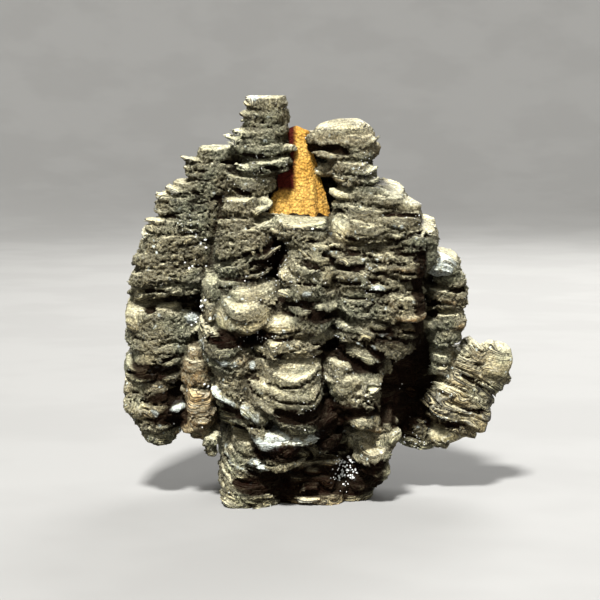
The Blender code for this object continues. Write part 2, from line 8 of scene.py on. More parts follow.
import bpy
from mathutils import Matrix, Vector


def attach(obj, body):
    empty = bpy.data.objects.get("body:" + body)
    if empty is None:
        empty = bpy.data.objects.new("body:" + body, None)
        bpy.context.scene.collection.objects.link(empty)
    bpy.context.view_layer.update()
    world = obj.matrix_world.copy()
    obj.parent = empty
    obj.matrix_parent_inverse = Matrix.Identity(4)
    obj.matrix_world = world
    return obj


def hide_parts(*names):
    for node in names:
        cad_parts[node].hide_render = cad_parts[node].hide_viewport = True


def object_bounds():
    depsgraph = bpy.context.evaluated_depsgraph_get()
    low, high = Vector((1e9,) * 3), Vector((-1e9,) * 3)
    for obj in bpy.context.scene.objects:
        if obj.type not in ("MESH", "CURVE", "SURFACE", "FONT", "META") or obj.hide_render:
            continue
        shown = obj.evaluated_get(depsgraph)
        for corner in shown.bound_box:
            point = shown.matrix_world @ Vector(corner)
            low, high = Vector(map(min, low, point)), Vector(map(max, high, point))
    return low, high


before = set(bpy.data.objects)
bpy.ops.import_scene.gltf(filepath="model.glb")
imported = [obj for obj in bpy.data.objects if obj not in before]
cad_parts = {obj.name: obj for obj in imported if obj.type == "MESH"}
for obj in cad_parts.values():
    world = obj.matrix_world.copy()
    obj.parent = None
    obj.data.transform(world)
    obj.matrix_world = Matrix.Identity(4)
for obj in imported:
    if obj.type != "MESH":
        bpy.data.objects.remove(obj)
cad_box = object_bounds()
print("nodes", sorted(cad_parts), "box in mm", [[round(v * 1000, 1) for v in end] for end in cad_box])

# %% Modules and units
import itertools
import math
import random
import zlib

import bmesh
import bpy
import numpy as np
import openvdb
from mathutils import Matrix, Vector

MM = 0.001
CUT_HEIGHT = 1.6       # the tables' height where the base is cut flat, which is the model's zero

# %% [markdown]
# ## Camera
# The camera looks from the window's side and a little from above, through a long lens, so
# that the plates stay parallel. It comes first, because the lips and holes further down
# are placed by where the photograph shows them. The view transform is Standard, which
# shows a colour as it was mixed: the usual softer one would grey the pale rims.

# %% Camera
TARGET = Vector((-0.00225, 0, 0.0486))
DISTANCE = 0.48
RISE = math.radians(6)
FRAME_WIDTH = 0.150    # what the photograph's width spans at the specimen, in metres
SENSOR = 36            # millimetres
PHOTO_WIDTH = 600      # pixels
scene = bpy.context.scene
scene.view_settings.view_transform = "Standard"
eye = TARGET + DISTANCE * Vector((0, -math.cos(RISE), math.sin(RISE)))
lens = bpy.data.cameras.new("camera")
lens.lens = SENSOR * DISTANCE / FRAME_WIDTH
lens.clip_start = 0.01
camera = bpy.data.objects.new("camera", lens)
scene.collection.objects.link(camera)
camera.location = eye
camera.rotation_euler = (TARGET - eye).to_track_quat("-Z", "Y").to_euler()
scene.camera = camera


def sight_line(across, down):
    """The eye and the direction of a pixel of the photograph, in the tables' millimetres."""
    side = FRAME_WIDTH / PHOTO_WIDTH
    plane = Vector(((across - PHOTO_WIDTH / 2) * side, (PHOTO_WIDTH / 2 - down) * side, -DISTANCE))
    direction = camera.rotation_euler.to_matrix() @ plane
    return np.array(eye) / MM + np.array([0, 0, CUT_HEIGHT]), np.array(direction.normalized())


print("lens", round(lens.lens, 1), "mm")

# %% [markdown]
# ## Where the plates grew
# The specimen is a bunch of lobes, and each lobe is a stack of ledges. These tables repeat
# the lobes of the solid model, so that the fine surface lies where the model has its own:
# a name, how far the plates rise to the right and to the back, and rows of (height, left,
# right, front, back) in millimetres from the foot to the top. Three lobes are cut back:
# the right crown and its stem end lower, because one broad lip rounds that crown off, and
# the middle shelf lies further back, to leave the dark niche under the next one open. The
# crown at the upper left has flat shelves that reach over the window.

# %% The crown and the pillar under it
CROWN = [
    ("crown", (0.02, 0.05), [(91.5, -16, -4.5, -6, 9), (97, -15.6, -4.7, -6, 9), (101, -14, -6.2, -4, 7)]),
    ("crown_shelf", (0.06, 0.05), [(86.8, -19, -4.2, -8, 8), (92.6, -17, -6.2, -7, 8)]),
    ("window_shelf_high", (0.10, 0.10), [(82.4, -16.5, -4.5, -9, 6), (85.9, -14.5, -2.9, -9, 6)]),
    ("window_shelf_middle", (-0.04, 0.12), [(77.2, -20.5, -9.5, -8, 6), (81.8, -20.5, -8.5, -8.5, 6)]),
    ("window_shelf_low", (0.08, 0.12), [(69, -22, -11.5, -12, 6), (76.4, -21.5, -12, -11, 6)]),
    ("pillar", (0, 0), [(52, -24, -11, -7, 10), (70, -20, -12.5, -7, 10), (94, -16, -8.5, -3, 8)]),
]

# %% [markdown]
# The left side steps down in terraces of long thin layers. Below them come scales, a brow
# over a dark slit, and a pale sill. One massive brown column stands in front of them.

# %% The left side
LEFT_SIDE = [
    ("left_knob", (-0.03, 0.12), [(78, -31, -17, -4, 10), (84, -30.2, -17, -4.5, 10),
        (88.4, -26, -18, -3, 7)]),
    ("left_stack", (0.05, 0.10), [(69.6, -38, -19, -7, 11), (75, -37.8, -19, -7, 11),
        (80, -31.5, -19, -5, 10)]),
    ("left_terrace_high", (0.22, 0.12), [(62, -43.5, -22.5, -9, 11), (67, -42.8, -22.5, -9, 11),
        (70.6, -39.5, -23, -7, 9)]),
    ("left_terrace_low", (0.14, 0.12), [(52.8, -44, -23.5, -9, 11), (57, -45, -23.5, -10, 11),
        (62.8, -43.8, -23, -9, 11)]),
    ("left_bridge", (0, 0), [(44, -42.5, -22, -3, 10), (58, -42, -22, -3, 10)]),
    ("left_scales", (0, 0.30), [(40.8, -45.5, -26, -9, 10), (45, -46.3, -26, -10, 10),
        (50, -45, -27, -8, 8)]),
    ("left_brow", (0.02, 0.35), [(33.2, -46, -36, -9, 9), (37, -46, -32.5, -11, 9),
        (40.6, -44.5, -31.5, -8, 9)]),
    ("left_hood", (-0.10, 0.30), [(37.5, -41, -31, -11.5, 6), (41.5, -40, -31, -9.5, 6)]),
    ("left_cheek", (0, 0.30), [(25.3, -45.5, -32.5, -9.5, 9), (29, -46.3, -31.8, -10.5, 9),
        (32.2, -45.8, -35, -9, 9)]),
    ("left_sill", (0.08, 0.30), [(21.8, -41.5, -31, -11.5, 7), (24.4, -41.5, -31, -11, 7)]),
    ("left_foot", (-0.05, 0.30), [(17.4, -42, -32.5, -7, 8), (20, -44, -31.5, -9, 9),
        (23.6, -45, -33, -8.5, 9)]),
    ("left_column", (0, 0), [(18.5, -42.5, -28, -4.5, 9), (41.5, -43.5, -27, -4.5, 9)]),
    ("brown_column", (0, 0.25), [(17.6, -30, -23.5, -9, 8), (23, -31.6, -22, -12, 8),
        (33, -31.8, -22, -13, 8), (42, -30, -23, -11, 8)]),
    ("flake", (0.10, 0.20), [(12.4, -25.8, -22, -13, -5), (17.6, -26.2, -21, -13.5, -4)]),
]

# %% [markdown]
# The middle has the round scales that lean to the front and show their tops like coins.
# The great plate, with its many thin rims, is the largest of them.

# %% The middle
MIDDLE = [
    ("middle_shelf_high", (0.16, 0.15), [(63.6, -24.3, -7.4, -14.5, 6), (67, -24, -7, -14.5, 6),
        (70.4, -23, -9, -12.5, 6)]),
    ("middle_shelf_mid", (0.20, 0.10), [(59, -24.6, -7.4, -14.5, 6), (62.6, -24.6, -7.4, -15, 6)]),
    ("middle_shelf_low", (0.12, 0.10), [(54.2, -24.6, -10.5, -14.5, 6), (58, -24.6, -10, -15.5, 6)]),
    ("knuckle", (0, 0.40), [(49.5, -26.2, -20.5, -17, -2), (58, -25.6, -21, -16, -2)]),
    ("high_coin", (0.04, 0.56), [(49, -21.5, -8, -21, -4), (54.2, -23.2, -7.6, -22, -4)]),
    ("low_coin", (0.05, 0.54), [(42.4, -26, -14, -20.5, -4), (47.2, -26.6, -15.5, -21.5, -4)]),
    ("coin_under", (0.10, 0.35), [(38, -25, -11, -18.5, -2), (42.6, -25.5, -12, -19.5, -2)]),
    ("window_sill", (0, 0.22), [(66.4, -10, 6, -15.5, 4), (71.2, -9, 5.6, -14.5, 1)]),
    ("collar", (-0.06, 0.35), [(60.6, -6, 10, -18.5, 4), (67.2, -5.5, 9, -17, 4)]),
    ("middle_bulge", (-0.10, 0.45), [(53.4, -7.2, 4.5, -20.5, 2), (59, -7.5, 5.2, -21, 2),
        (64.2, -6, 4.5, -18.5, 2)]),
    ("middle_plate", (0, 0.40), [(48.2, -7.8, 7.6, -21.5, 2), (54, -8.4, 6.4, -21.5, 2)]),
    ("small_plate", (0.18, 0.45), [(42.8, -12, -3, -22.5, -2), (46.8, -10.5, -1.8, -22.5, -2)]),
    ("thin_ledges", (0.08, 0.30), [(37.2, -14.5, 1, -20.5, 0), (41, -15, 5.2, -21.5, 0),
        (44.8, -6, 6.4, -20.5, 0)]),
    ("great_plate", (0, 0.50), [(27.4, -9.5, 3, -24.5, -2), (31, -14.6, 3.4, -26.5, -2),
        (35.5, -15.8, 3.2, -26.5, -2), (38.8, -9, 2.6, -23, -2)]),
    ("great_rim", (0.05, 0.35), [(23.4, -8.5, 4.4, -23, -2), (27.6, -9.6, 5.2, -25, -2)]),
    ("bright_plate_high", (-0.28, 0.30), [(33.6, -23.2, -13, -20, -3), (38, -25.8, -13, -20.5, -3),
        (42.2, -26, -18, -17.5, -3)]),
    ("bright_plate_low", (-0.34, 0.35), [(25, -22, -12, -20.5, -3), (30, -24.2, -13, -21.5, -3),
        (33.6, -22.5, -14, -20, -3)]),
    ("brown_shingles", (-0.40, 0.30), [(19.6, -15.8, -6, -21.5, -2), (24, -17.5, -7.5, -22.5, -2),
        (28.4, -16.5, -9, -21.5, -2)]),
    ("fan", (-0.32, 0.35), [(25.6, 6.5, 17, -21.5, 0), (29.5, 3.8, 18.6, -22.5, 0),
        (33.5, 3.2, 14.5, -21.5, 0), (38.4, 3.2, 9, -19.5, 0)]),
    ("white_lip", (0.10, 0.40), [(14.6, -12.5, -1, -22, -2), (18.5, -15, 2.2, -25, -2),
        (22, -11, 2.8, -24, -2)]),
    ("ragged_link", (0.28, 0.30), [(18.6, 0.5, 8.4, -19.5, 0), (27.2, 1.5, 9.4, -20, 0)]),
    ("sandy_fan", (0.06, 0.40), [(11.4, 10.5, 18.8, -17.5, 3), (14.5, 9.2, 20.6, -19.5, 3),
        (18.4, 10, 22.2, -19, 3)]),
    ("sandy_scale", (0.10, 0.35), [(19.2, 14, 22, -17, 3), (24.6, 15.5, 21.2, -15, 3)]),
]

# %% [markdown]
# The right side carries a second crown, a shoulder, and a slim column that stands apart
# across a deep dark recess. The broad mass below the shoulder is made of courses of
# shingles, so its table says how many shingles go side by side.

# %% The right side and the shingled masses
RIGHT_SIDE = [
    ("right_crown", (-0.04, 0.10), [(86.8, 0.6, 16.8, -8, 10), (90, -1.2, 17.2, -8.5, 10),
        (92.2, 1.5, 15, -6.5, 9.5)]),
    ("right_shelf", (-0.06, 0.15), [(80.2, 6, 16.8, -8.5, 10), (83.2, 2, 16.5, -9.5, 10),
        (85.8, 7.5, 16.4, -8, 10)]),
    ("right_stem", (0, 0), [(60, 4, 22, -4, 10), (78, 7, 17.2, -3, 10), (90, 5, 14, -3, 8)]),
    ("right_link", (0, 0.12), [(75.8, 7.5, 19, -8.5, 10), (79.6, 9, 17.8, -7.5, 10)]),
    ("right_shoulder_high", (-0.10, 0.25), [(71.4, 6.5, 30.6, -11, 10), (75, 6, 28, -11.5, 10),
        (78.6, 10.5, 21, -8.5, 9)]),
    ("right_column_cap", (-0.25, 0.15), [(54.6, 30, 39.6, -4.5, 11), (57.8, 30, 39.3, -4.5, 11),
        (61.6, 30.6, 36.4, -3.5, 8)]),
    ("right_column_high", (-0.05, 0.15), [(48.6, 29, 39.4, -4.5, 11), (54, 28.4, 39.6, -5.5, 11)]),
    ("right_column_low", (0.05, 0.20), [(39.8, 30.2, 37.8, -4.5, 9), (43.6, 29, 39.2, -5, 9),
        (47.6, 31, 39.4, -4.5, 9)]),
    ("right_column_foot", (0, 0.20), [(32.8, 29, 36.2, -3.5, 9), (38, 28.6, 36.8, -4, 9)]),
    ("right_back_column", (0, 0), [(28, 24, 36, 0, 11), (59, 24, 36, 0, 9)]),
    ("wing_toe", (0, 0.30), [(13.8, 29, 36.4, -3, 8), (17.4, 29, 37, -3.5, 8)]),
    ("wing_root", (-0.20, 0.20), [(13.4, 22, 31, -2, 12), (24.8, 20, 33, -1, 12)]),
]

SHINGLED = [
    ("shoulder", (-0.12, 0.28), 2, [(63, 6, 31.5, -14, 6), (67, 4.6, 32.6, -14.5, 6),
        (71.8, 5, 31.4, -12.5, 6)]),
    ("mass", (-0.20, 0.32), 2, [(35, 9.5, 19, -17, 4), (40, 6.5, 23.6, -18, 4), (48, 5.6, 28.6, -18.5, 4),
        (56, 4.8, 29, -18.5, 4), (64, 4.6, 29.6, -15.5, 4)]),
]

# %% [markdown]
# The base is the broken lower end. The heart fills the middle, and the back is a plain
# guess: the same growth in coarser ledges, because nothing shows how it looks. The wing
# is a fan of plates that dips to the right, so it has a place and a dip of its own.

# %% Base, heart, back and wing
BASE = [
    ("base_left", (-0.18, 0.18), [(-3, -20, -7, -20, 10), (3, -21.6, -6, -21, 10),
        (8, -22.2, -5, -20.5, 10), (14, -21.6, -5, -19, 10), (19.4, -19.5, -6, -18, 10)]),
    ("base_middle", (0, 0.12), [(-3, -9, 9, -15.5, 16), (4, -9, 10.5, -17.5, 16),
        (13, -7, 9.5, -14.5, 14)]),
    ("base_right", (0.06, 0.12), [(2, 6, 14.5, -12.5, 12), (6, 6, 19.8, -14, 12),
        (9.5, 7, 21.2, -13.5, 12), (13.6, 8, 20.8, -12.5, 12)]),
]

HEART = [
    ("heart_low", (0, 0), [(-3, -15, 11, -9, 16), (20, -24, 22, -10, 16), (40, -28, 28, -8, 16)]),
    ("heart_high", (0, 0), [(38, -30, 30, -8, 16), (56, -30, 28, -6, 15), (69, -24, 22, -5, 13)]),
    ("shadow_wall", (0, 0), [(16, 8, 30, 1, 14), (42, 10, 33, 0, 14)]),
]

BACK = [
    ("back_crown", (0.05, -0.10), [(74, -18, 15, 6, 18), (84, -16, 13, 6, 16), (89.5, -14, 11, 5, 13)]),
    ("back_crown_left", (0.05, -0.10), [(86, -16, -5, 5, 14), (97.5, -13.5, -6.5, 4, 10.5)]),
    ("back_left_high", (0.10, -0.15), [(64, -37, -14, 4, 19), (76, -35, -14, 4, 18),
        (84, -29, -16, 4, 14)]),
    ("back_left_middle", (0.12, -0.20), [(46, -42.5, -18, 4, 20), (58, -42, -18, 4, 22),
        (67, -39, -18, 4, 19)]),
    ("back_left_low", (0, -0.25), [(21, -39, -18, 4, 16), (34, -43, -18, 4, 19), (46.5, -42, -18, 4, 19)]),
    ("back_middle_high", (0, -0.20), [(56, -20, 10, 8, 25), (68, -19, 11, 8, 24), (80, -14, 9, 6, 20)]),
    ("back_middle", (-0.08, -0.30), [(33, -22, 9, 8, 28), (45, -23, 10, 8, 29), (57, -20, 9, 8, 27)]),
    ("back_middle_low", (0.08, -0.35), [(10, -21, 7, 6, 24), (22, -23, 8, 6, 28), (34.5, -21, 7, 6, 27)]),
    ("back_foot", (0, 0), [(-3, -19, 13, 4, 22), (6, -20, 15, 4, 24), (12, -19, 14, 4, 23)]),
    ("back_right_high", (-0.12, -0.15), [(60, 7, 31, 4, 20), (70, 7, 29, 4, 20), (79, 7, 22, 4, 16)]),
    ("back_right_middle", (-0.10, -0.25), [(40, 6, 35, 4, 23), (52, 6, 36.5, 4, 24), (61.5, 7, 33, 4, 21)]),
    ("back_right_low", (-0.05, -0.30), [(17, 4, 29, 4, 20), (29, 4, 34, 4, 23), (41.5, 5, 35, 4, 23)]),
]

WING = [
    ("wing_upper", (42, 2, 31.4), 43, [(-8, -6.5, 6, -5, 8), (-3, -9, 8.8, -6, 9),
        (3.5, -8.6, 8.8, -5.5, 9), (6, -7.5, 8, -5, 8)]),
    ("wing_tip", (45.4, 2, 37.2), 43, [(-2, -3.6, 5.4, -5, 8), (2, -3.2, 4.8, -4.5, 7)]),
    ("wing_lower", (36.5, 1, 23.2), 22, [(-5, -6, 7, -5, 9), (-1, -8.5, 9.4, -6.5, 9), (4, -9, 9, -6, 9),
        (7, -7, 4, -4.5, 9)]),
]

# %% [markdown]
# ## From lobes to ledges
# A lobe is cut into ledges about three millimetres thick, and each ledge strays a little
# from its neighbours. The dice are seeded with the lobe's name and are thrown in the order
# of the solid model, so both break the stone at the same heights.

# %% Cut a lobe into ledges
LEDGE = 3.4
BACK_LEDGE = 5.0
HEART_LEDGE = 12.0
WANDER = 0.9           # how far one ledge's rim strays from its neighbours
UNEVEN = 0.14          # how far the height between two ledges strays, as a share of a ledge
SHINGLE = 3.6          # height of one course of shingles


def section_at(rows, height):
    """The left, right, front and back of a lobe at a height, between its rows."""
    if height <= rows[0][0]:
        return rows[0][1:]
    for low, high in zip(rows, rows[1:]):
        if height <= high[0]:
            share = (height - low[0]) / (high[0] - low[0])
            return tuple(a + (b - a) * share for a, b in zip(low[1:], high[1:]))
    return rows[-1][1:]


def ledge_sections(rows, ledge, dice):
    """Cut a lobe into ledges: (foot height, top height, strayed section) for each."""
    foot, top = rows[0][0], rows[-1][0]
    count = max(1, round((top - foot) / ledge))
    edges = [foot + (top - foot) * step / count for step in range(count + 1)]
    for step in range(1, count):
        edges[step] += dice.uniform(-UNEVEN, UNEVEN) * ledge
    ledges = []
    for low, high in zip(edges, edges[1:]):
        section = section_at(rows, (low + high) / 2)
        ledges.append((low, high, tuple(side + dice.uniform(-WANDER, WANDER) for side in section)))
    return ledges


# %% [markdown]
# The broad mass and the shoulder have no plates that run right across them. They are built
# like a roof, in courses of shingles: each course is shifted sideways against the one
# below, and each shingle laps over its neighbour and stands a little in front or behind.

# %% Break a broad mass into courses of shingles
SHINGLE_LAP = 2.5
SHINGLE_SHIFT = 0.22   # of one shingle's width, to the left or right in turn
SHINGLE_SWELL = 0.9    # how far the outer shingles of a course stand back
SHINGLE_STRAY = 1.0
FRONT_STRAY = 1.1
LIFT_STRAY = 0.9
SHINGLE_THICK = (0.95, 1.2)     # least and most, of the height of a course


def shingles(name, slope, count, rows):
    """Courses of overlapping shingles, each a small lobe of its own."""
    dice = random.Random(zlib.crc32(name.encode()))
    foot, top = rows[0][0], rows[-1][0]
    courses = round((top - foot) / SHINGLE)
    middle = (rows[-1][1] + rows[-1][2]) / 2
    made = []
    for course in range(courses):
        low = foot + (top - foot) * course / courses
        left, right, front, back = section_at(rows, low + SHINGLE / 2)
        edges = [left + (right - left) * step / count for step in range(count + 1)]
        shift = (right - left) / count * (SHINGLE_SHIFT if course % 2 else -SHINGLE_SHIFT)
        edges[1:-1] = [edge + shift + dice.uniform(-SHINGLE_STRAY, SHINGLE_STRAY) for edge in edges[1:-1]]
        for step in range(count):
            one_left = edges[step] - (SHINGLE_LAP if step else 0.0)
            one_right = edges[step + 1] + (SHINGLE_LAP if step < count - 1 else 0.0)
            set_back = SHINGLE_SWELL * abs(step - (count - 1) / 2) + dice.uniform(-FRONT_STRAY, FRONT_STRAY)
            lift = slope[0] * ((one_left + one_right) / 2 - middle) + dice.uniform(-LIFT_STRAY, LIFT_STRAY)
            section = (one_left, one_right, front + set_back, back)
            thick = SHINGLE * dice.uniform(*SHINGLE_THICK)
            made.append((f"{name}_{course}_{step}", slope, [
                (low + lift, *section), (low + lift + thick, *section)]))
    return made


courses = [lobe for mass in SHINGLED for lobe in shingles(*mass)]
print("shingles", len(courses))

# %% [markdown]
# ## Noise
# Stone is never quite regular. This noise gives smooth bumps between -1 and 1, about one
# for each unit of length. Each corner of a lattice gets a value by mixing its three whole
# numbers, and a smooth step blends the eight corners. It needs no tables, so the same
# place always has the same value, whatever piece asks for it.

# %% Value noise
MIXERS = (374761393, 668265263, 2246822519, 3266489917)


def value_noise(x, y, z, seed):
    """Smooth noise from -1 to 1 with about one bump for each unit of length."""
    keys, eases = [], []
    for place, mixer in zip((x, y, z), MIXERS):
        floor = np.floor(place)
        share = place - floor
        key = floor.astype(np.int32).astype(np.uint32) * np.uint32(mixer)
        keys.append((key, key + np.uint32(mixer)))
        ease = share * share * (3 - 2 * share)
        eases.append((1 - ease, ease))
    total = 0
    for i, j, k in itertools.product((0, 1), repeat=3):
        mixed = keys[0][i] ^ keys[1][j] ^ keys[2][k] ^ np.uint32(seed * 7919 + 13)
        mixed = (mixed ^ (mixed >> np.uint32(15))) * np.uint32(MIXERS[2])
        mixed = (mixed ^ (mixed >> np.uint32(13))) * np.uint32(MIXERS[3])
        value = ((mixed ^ (mixed >> np.uint32(16))) >> np.uint32(8)).astype(np.float32)
        total = total + (value * np.float32(2 / 2 ** 24) - 1) * (eases[0][i] * eases[1][j] * eases[2][k])
    return total


sample = np.linspace(0, 40, 4001, dtype=np.float32)
print("noise runs from", value_noise(sample, sample * 0.7, sample * 1.3, 1).min(),
      "to", value_noise(sample, sample * 0.7, sample * 1.3, 1).max())


# %% [markdown]
# ## Forms that melt together
# Thousands of thin plates with ragged rims could be lofted one by one, but they would look
# like stacked coins. Here the stone is a field instead: a number in every small cell that
# says how far inside the stone the cell lies. Forms are added to the field softly, so
# neighbours run into each other as grown stone does. One form is a ledge: a rounded plate
# with a groove below and above its rim.

# %% A ledge as a field
LEDGE_ROUND = 0.5      # rounding of a ledge's flat faces into its rim
LEDGE_LAP = 0.3        # how far a ledge reaches into the next one
LEDGE_BROWS = 0.65     # twice the height at which a ledge stands out most


def ledge_form(section, low, high, corners, waves, rock, groove):
    """A function of local x, y and z: the depth inside a ledge, and the plates' height."""
    left, right, front, back = section
    wide, deep, thick = (right - left) / 2, (back - front) / 2, high - low

    def depth(x, y, z):
        x, y = x - (left + right) / 2, y - (front + back) / 2
        z = z - rock[0] * x - rock[1] * y
        angle = np.arctan2(y / deep, x / wide)
        reach = (np.abs(x / wide) ** corners + np.abs(y / deep) ** corners) ** (1 / corners)
        reach = reach / (1 + sum(size * np.sin(turns * angle + phase) for turns, size, phase in waves))
        rise = np.clip((z - low) / thick, 0, 1)
        inset = groove * np.abs(2 * rise - LEDGE_BROWS) ** 2.4
        across = np.sqrt(x * x + y * y) * (1 / np.maximum(reach, 0.02) - 1) - inset
        along = thick / 2 + LEDGE_LAP - np.abs(z - (low + high) / 2)
        corner = np.hypot(np.maximum(LEDGE_ROUND - across, 0), np.maximum(LEDGE_ROUND - along, 0))
        return np.maximum(np.minimum(across, along), LEDGE_ROUND) - corner, z
    return depth


# %% [markdown]
# The other form is a scale: a flattened pillow like an eyelid. Rows of them along the rim
# of each ledge break it into the overlapping lips that cover the whole specimen.

# %% A scale as a field
PILLOW = 2.5           # 2 is an ellipsoid, and more is flatter with a fuller rim
SAG = 0.12             # how far a scale's middle hangs below its ends, as a share of its half width


def scale_form(place, yaw, half, droop, pillow=PILLOW, sag=SAG):
    """The same for a scale: half sizes outwards, sideways and up, drooping outwards."""
    cos, sin = math.cos(yaw), math.sin(yaw)

    def depth(x, y, z):
        x, y = x - place[0], y - place[1]
        out, side = x * cos + y * sin, y * cos - x * sin
        z = z - place[2] + droop * out + sag * (half[1] - side * side / half[1])
        flat = (out / half[0]) ** 2 + (side / half[1]) ** 2
        tall = np.abs(z) / half[2]
        level = np.maximum((flat ** (pillow / 2) + tall ** pillow) ** (1 / pillow), 0.05)
        steep = level ** (1 - pillow) * np.sqrt(
            flat ** (pillow - 2) * ((out / half[0] ** 2) ** 2 + (side / half[1] ** 2) ** 2)
            + (tall ** (pillow - 1) / half[2]) ** 2)
        return (1 - level) / np.maximum(steep, 1e-3), z
    return depth


# %% [markdown]
# Every form is stored with the box that holds it and with how its plates lie: the pitch of
# the plates, where the first one starts, a tone and how strongly the plates show.

# %% A store of forms
forms = []


def store(low, high, space, form, plates):
    """Keep a form of a local frame (turn, origin), with its box in the specimen."""
    turn, origin = space
    corners = np.array(list(itertools.product(*zip(low, high)))) @ np.linalg.inv(turn).T + origin
    forms.append((corners.min(0), corners.max(0), turn.astype(np.float32), origin, form, plates))


def sheared(slope, rows):
    """A lobe's frame, in which its slanting plates lie level."""
    left, right, front, back = rows[len(rows) // 2][1:]
    turn = np.array([[1, 0, 0], [0, 1, 0], [-slope[0], -slope[1], 1]], float)
    return turn, np.array([(left + right) / 2, (front + back) / 2, 0.0])


# %% [markdown]
# ## Habits
# Each part of the specimen has its own habit: long fine layers in the terraces, short
# scales on the main mass, coins in the middle and coarse growth at the back. A habit sets
# how wide and deep the scales along the rims are and how far they stand out, the pitch of
# the plates and how strongly they show, and the groove between two ledges.

# %% Habits of growth
HABITS = {
    "layers": {"wide": 15.0, "deep": 5.5, "out": 0.5, "pitch": 1.9, "strength": 0.9, "groove": 0.3},
    "scales": {"wide": 8.0, "deep": 5.0, "out": 0.6, "pitch": 1.5, "strength": 0.85, "groove": 0.25},
    "coins": {"wide": 9.0, "deep": 4.0, "out": 0.6, "pitch": 1.3, "strength": 0.7, "groove": 0.3},
    "massive": {"wide": 9.0, "deep": 5.0, "out": 0.4, "pitch": 1.6, "strength": 0.5, "groove": 0.2},
    "rough": {"wide": 12.0, "deep": 6.0, "out": 0.9, "pitch": 1.7, "strength": 0.9, "groove": 1.5},
}
LAYERED = {"left_knob", "left_stack", "left_terrace_high", "left_terrace_low"}
MASSIVE = {"brown_column", "left_cheek", "left_brow", "shadow_wall", "crown", "right_crown"}
WARM = {"brown_column": 0.7, "left_cheek": 0.3, "shadow_wall": 1.0, "right_crown": 0.45,
        "right_shelf": 0.45, "wing_upper": 0.2, "wing_tip": 0.2, "wing_lower": 0.2, "sandy_fan": 0.4,
        "base_middle": 0.6}
STACK_CORNERS = 2.5    # rounding of a flat stack's outline: 2 is an ellipse
SCALE_CORNERS = 2.1
LEANING = 0.28         # rise to the back from which a lobe counts as a leaning scale
COIN_LEAN = 0.4        # rise to the back from which it shows its top like a coin
ROCK = 0.045
WAVE = 0.04
SHALLOW_WAVE = 0.01


def habit_of(name, slope):
    """The habit that a front lobe grows in."""
    if name in LAYERED:
        return "layers"
    if name in MASSIVE:
        return "massive"
    return "coins" if slope[1] >= COIN_LEAN else "scales"


print("habits", ", ".join(HABITS))

# %% [markdown]
# The scales of a ledge are spread round its rim at uneven steps. Each one reaches from the
# rim into the ledge, turns its rounded edge outwards and droops a little.

# %% Scales along a ledge's rim
ANGLE_STRAY = 0.35     # of the angle from one scale to the next
LEAST_REACH = 0.8
REACH_STRAY = (0.7, 1.2)
REACH_OF_LEDGE = 0.75  # the most that a scale reaches in, of the way to the middle
WIDTH_STRAY = (0.35, 0.75)
SHORT_OF_ROUND = 0.7   # longer scales would stick out where a ledge rounds its corner
HEIGHT_SHARE = (0.22, 0.5)
OUT_STRAY = (-0.4, 1.2)
RISE_SHARE = (0.2, 0.8)
DROOP_STRAY = (-0.08, 0.25)
START_STRAY = 0.25     # how far a scale's plates are shifted against the ledge's
HIDDEN_DEPTH = 9.0     # scales further back than this on a front lobe would never show
SCALE_SPARE = 0.5      # spare room in the box round a scale


def add_scales(dice, ledge, corners, way, start, warm, space, hidden_from):
    """Store the scales along the rim of a ledge: (foot height, top height, section)."""
    low, high, (left, right, front, back) = ledge
    wide, deep = (right - left) / 2, (back - front) / 2
    count = max(4, round(math.pi * (wide + deep) / way["wide"]))
    turn = dice.uniform(0, 2 * math.pi)
    for step in range(count):
        angle = turn + 2 * math.pi * (step + dice.uniform(-ANGLE_STRAY, ANGLE_STRAY)) / count
        cos, sin = math.cos(angle), math.sin(angle)
        reach = (abs(cos) ** corners + abs(sin) ** corners) ** (-1 / corners)
        rim = Vector((wide * reach * cos, deep * reach * sin))
        reach_in = min(way["deep"] * dice.uniform(*REACH_STRAY), REACH_OF_LEDGE * rim.length)
        half_out = LEAST_REACH + reach_in / 2
        half_side = min(way["wide"] * dice.uniform(*WIDTH_STRAY), SHORT_OF_ROUND * min(wide, deep))
        half_tall = (high - low) * dice.uniform(*HEIGHT_SHARE)
        centre = rim * (1 - (half_out - way["out"] * dice.uniform(*OUT_STRAY)) / rim.length)
        place = ((left + right) / 2 + centre.x, (front + back) / 2 + centre.y,
                 low + (high - low) * dice.uniform(*RISE_SHARE))
        droop = dice.uniform(*DROOP_STRAY)
        tone, shift = dice.uniform(-1, 1), dice.uniform(-START_STRAY, START_STRAY)
        if place[1] > hidden_from:
            continue
        yaw = math.atan2(sin / deep, cos / wide)
        grow = max(half_out, half_side) + SCALE_SPARE
        tall = half_tall + abs(droop) * grow + SCALE_SPARE
        store((place[0] - grow, place[1] - grow, place[2] - tall),
              (place[0] + grow, place[1] + grow, place[2] + tall), space,
              scale_form(place, yaw, (half_out, half_side, half_tall), droop),
              (way["pitch"], start + shift, tone, way["strength"], 0.0, warm))


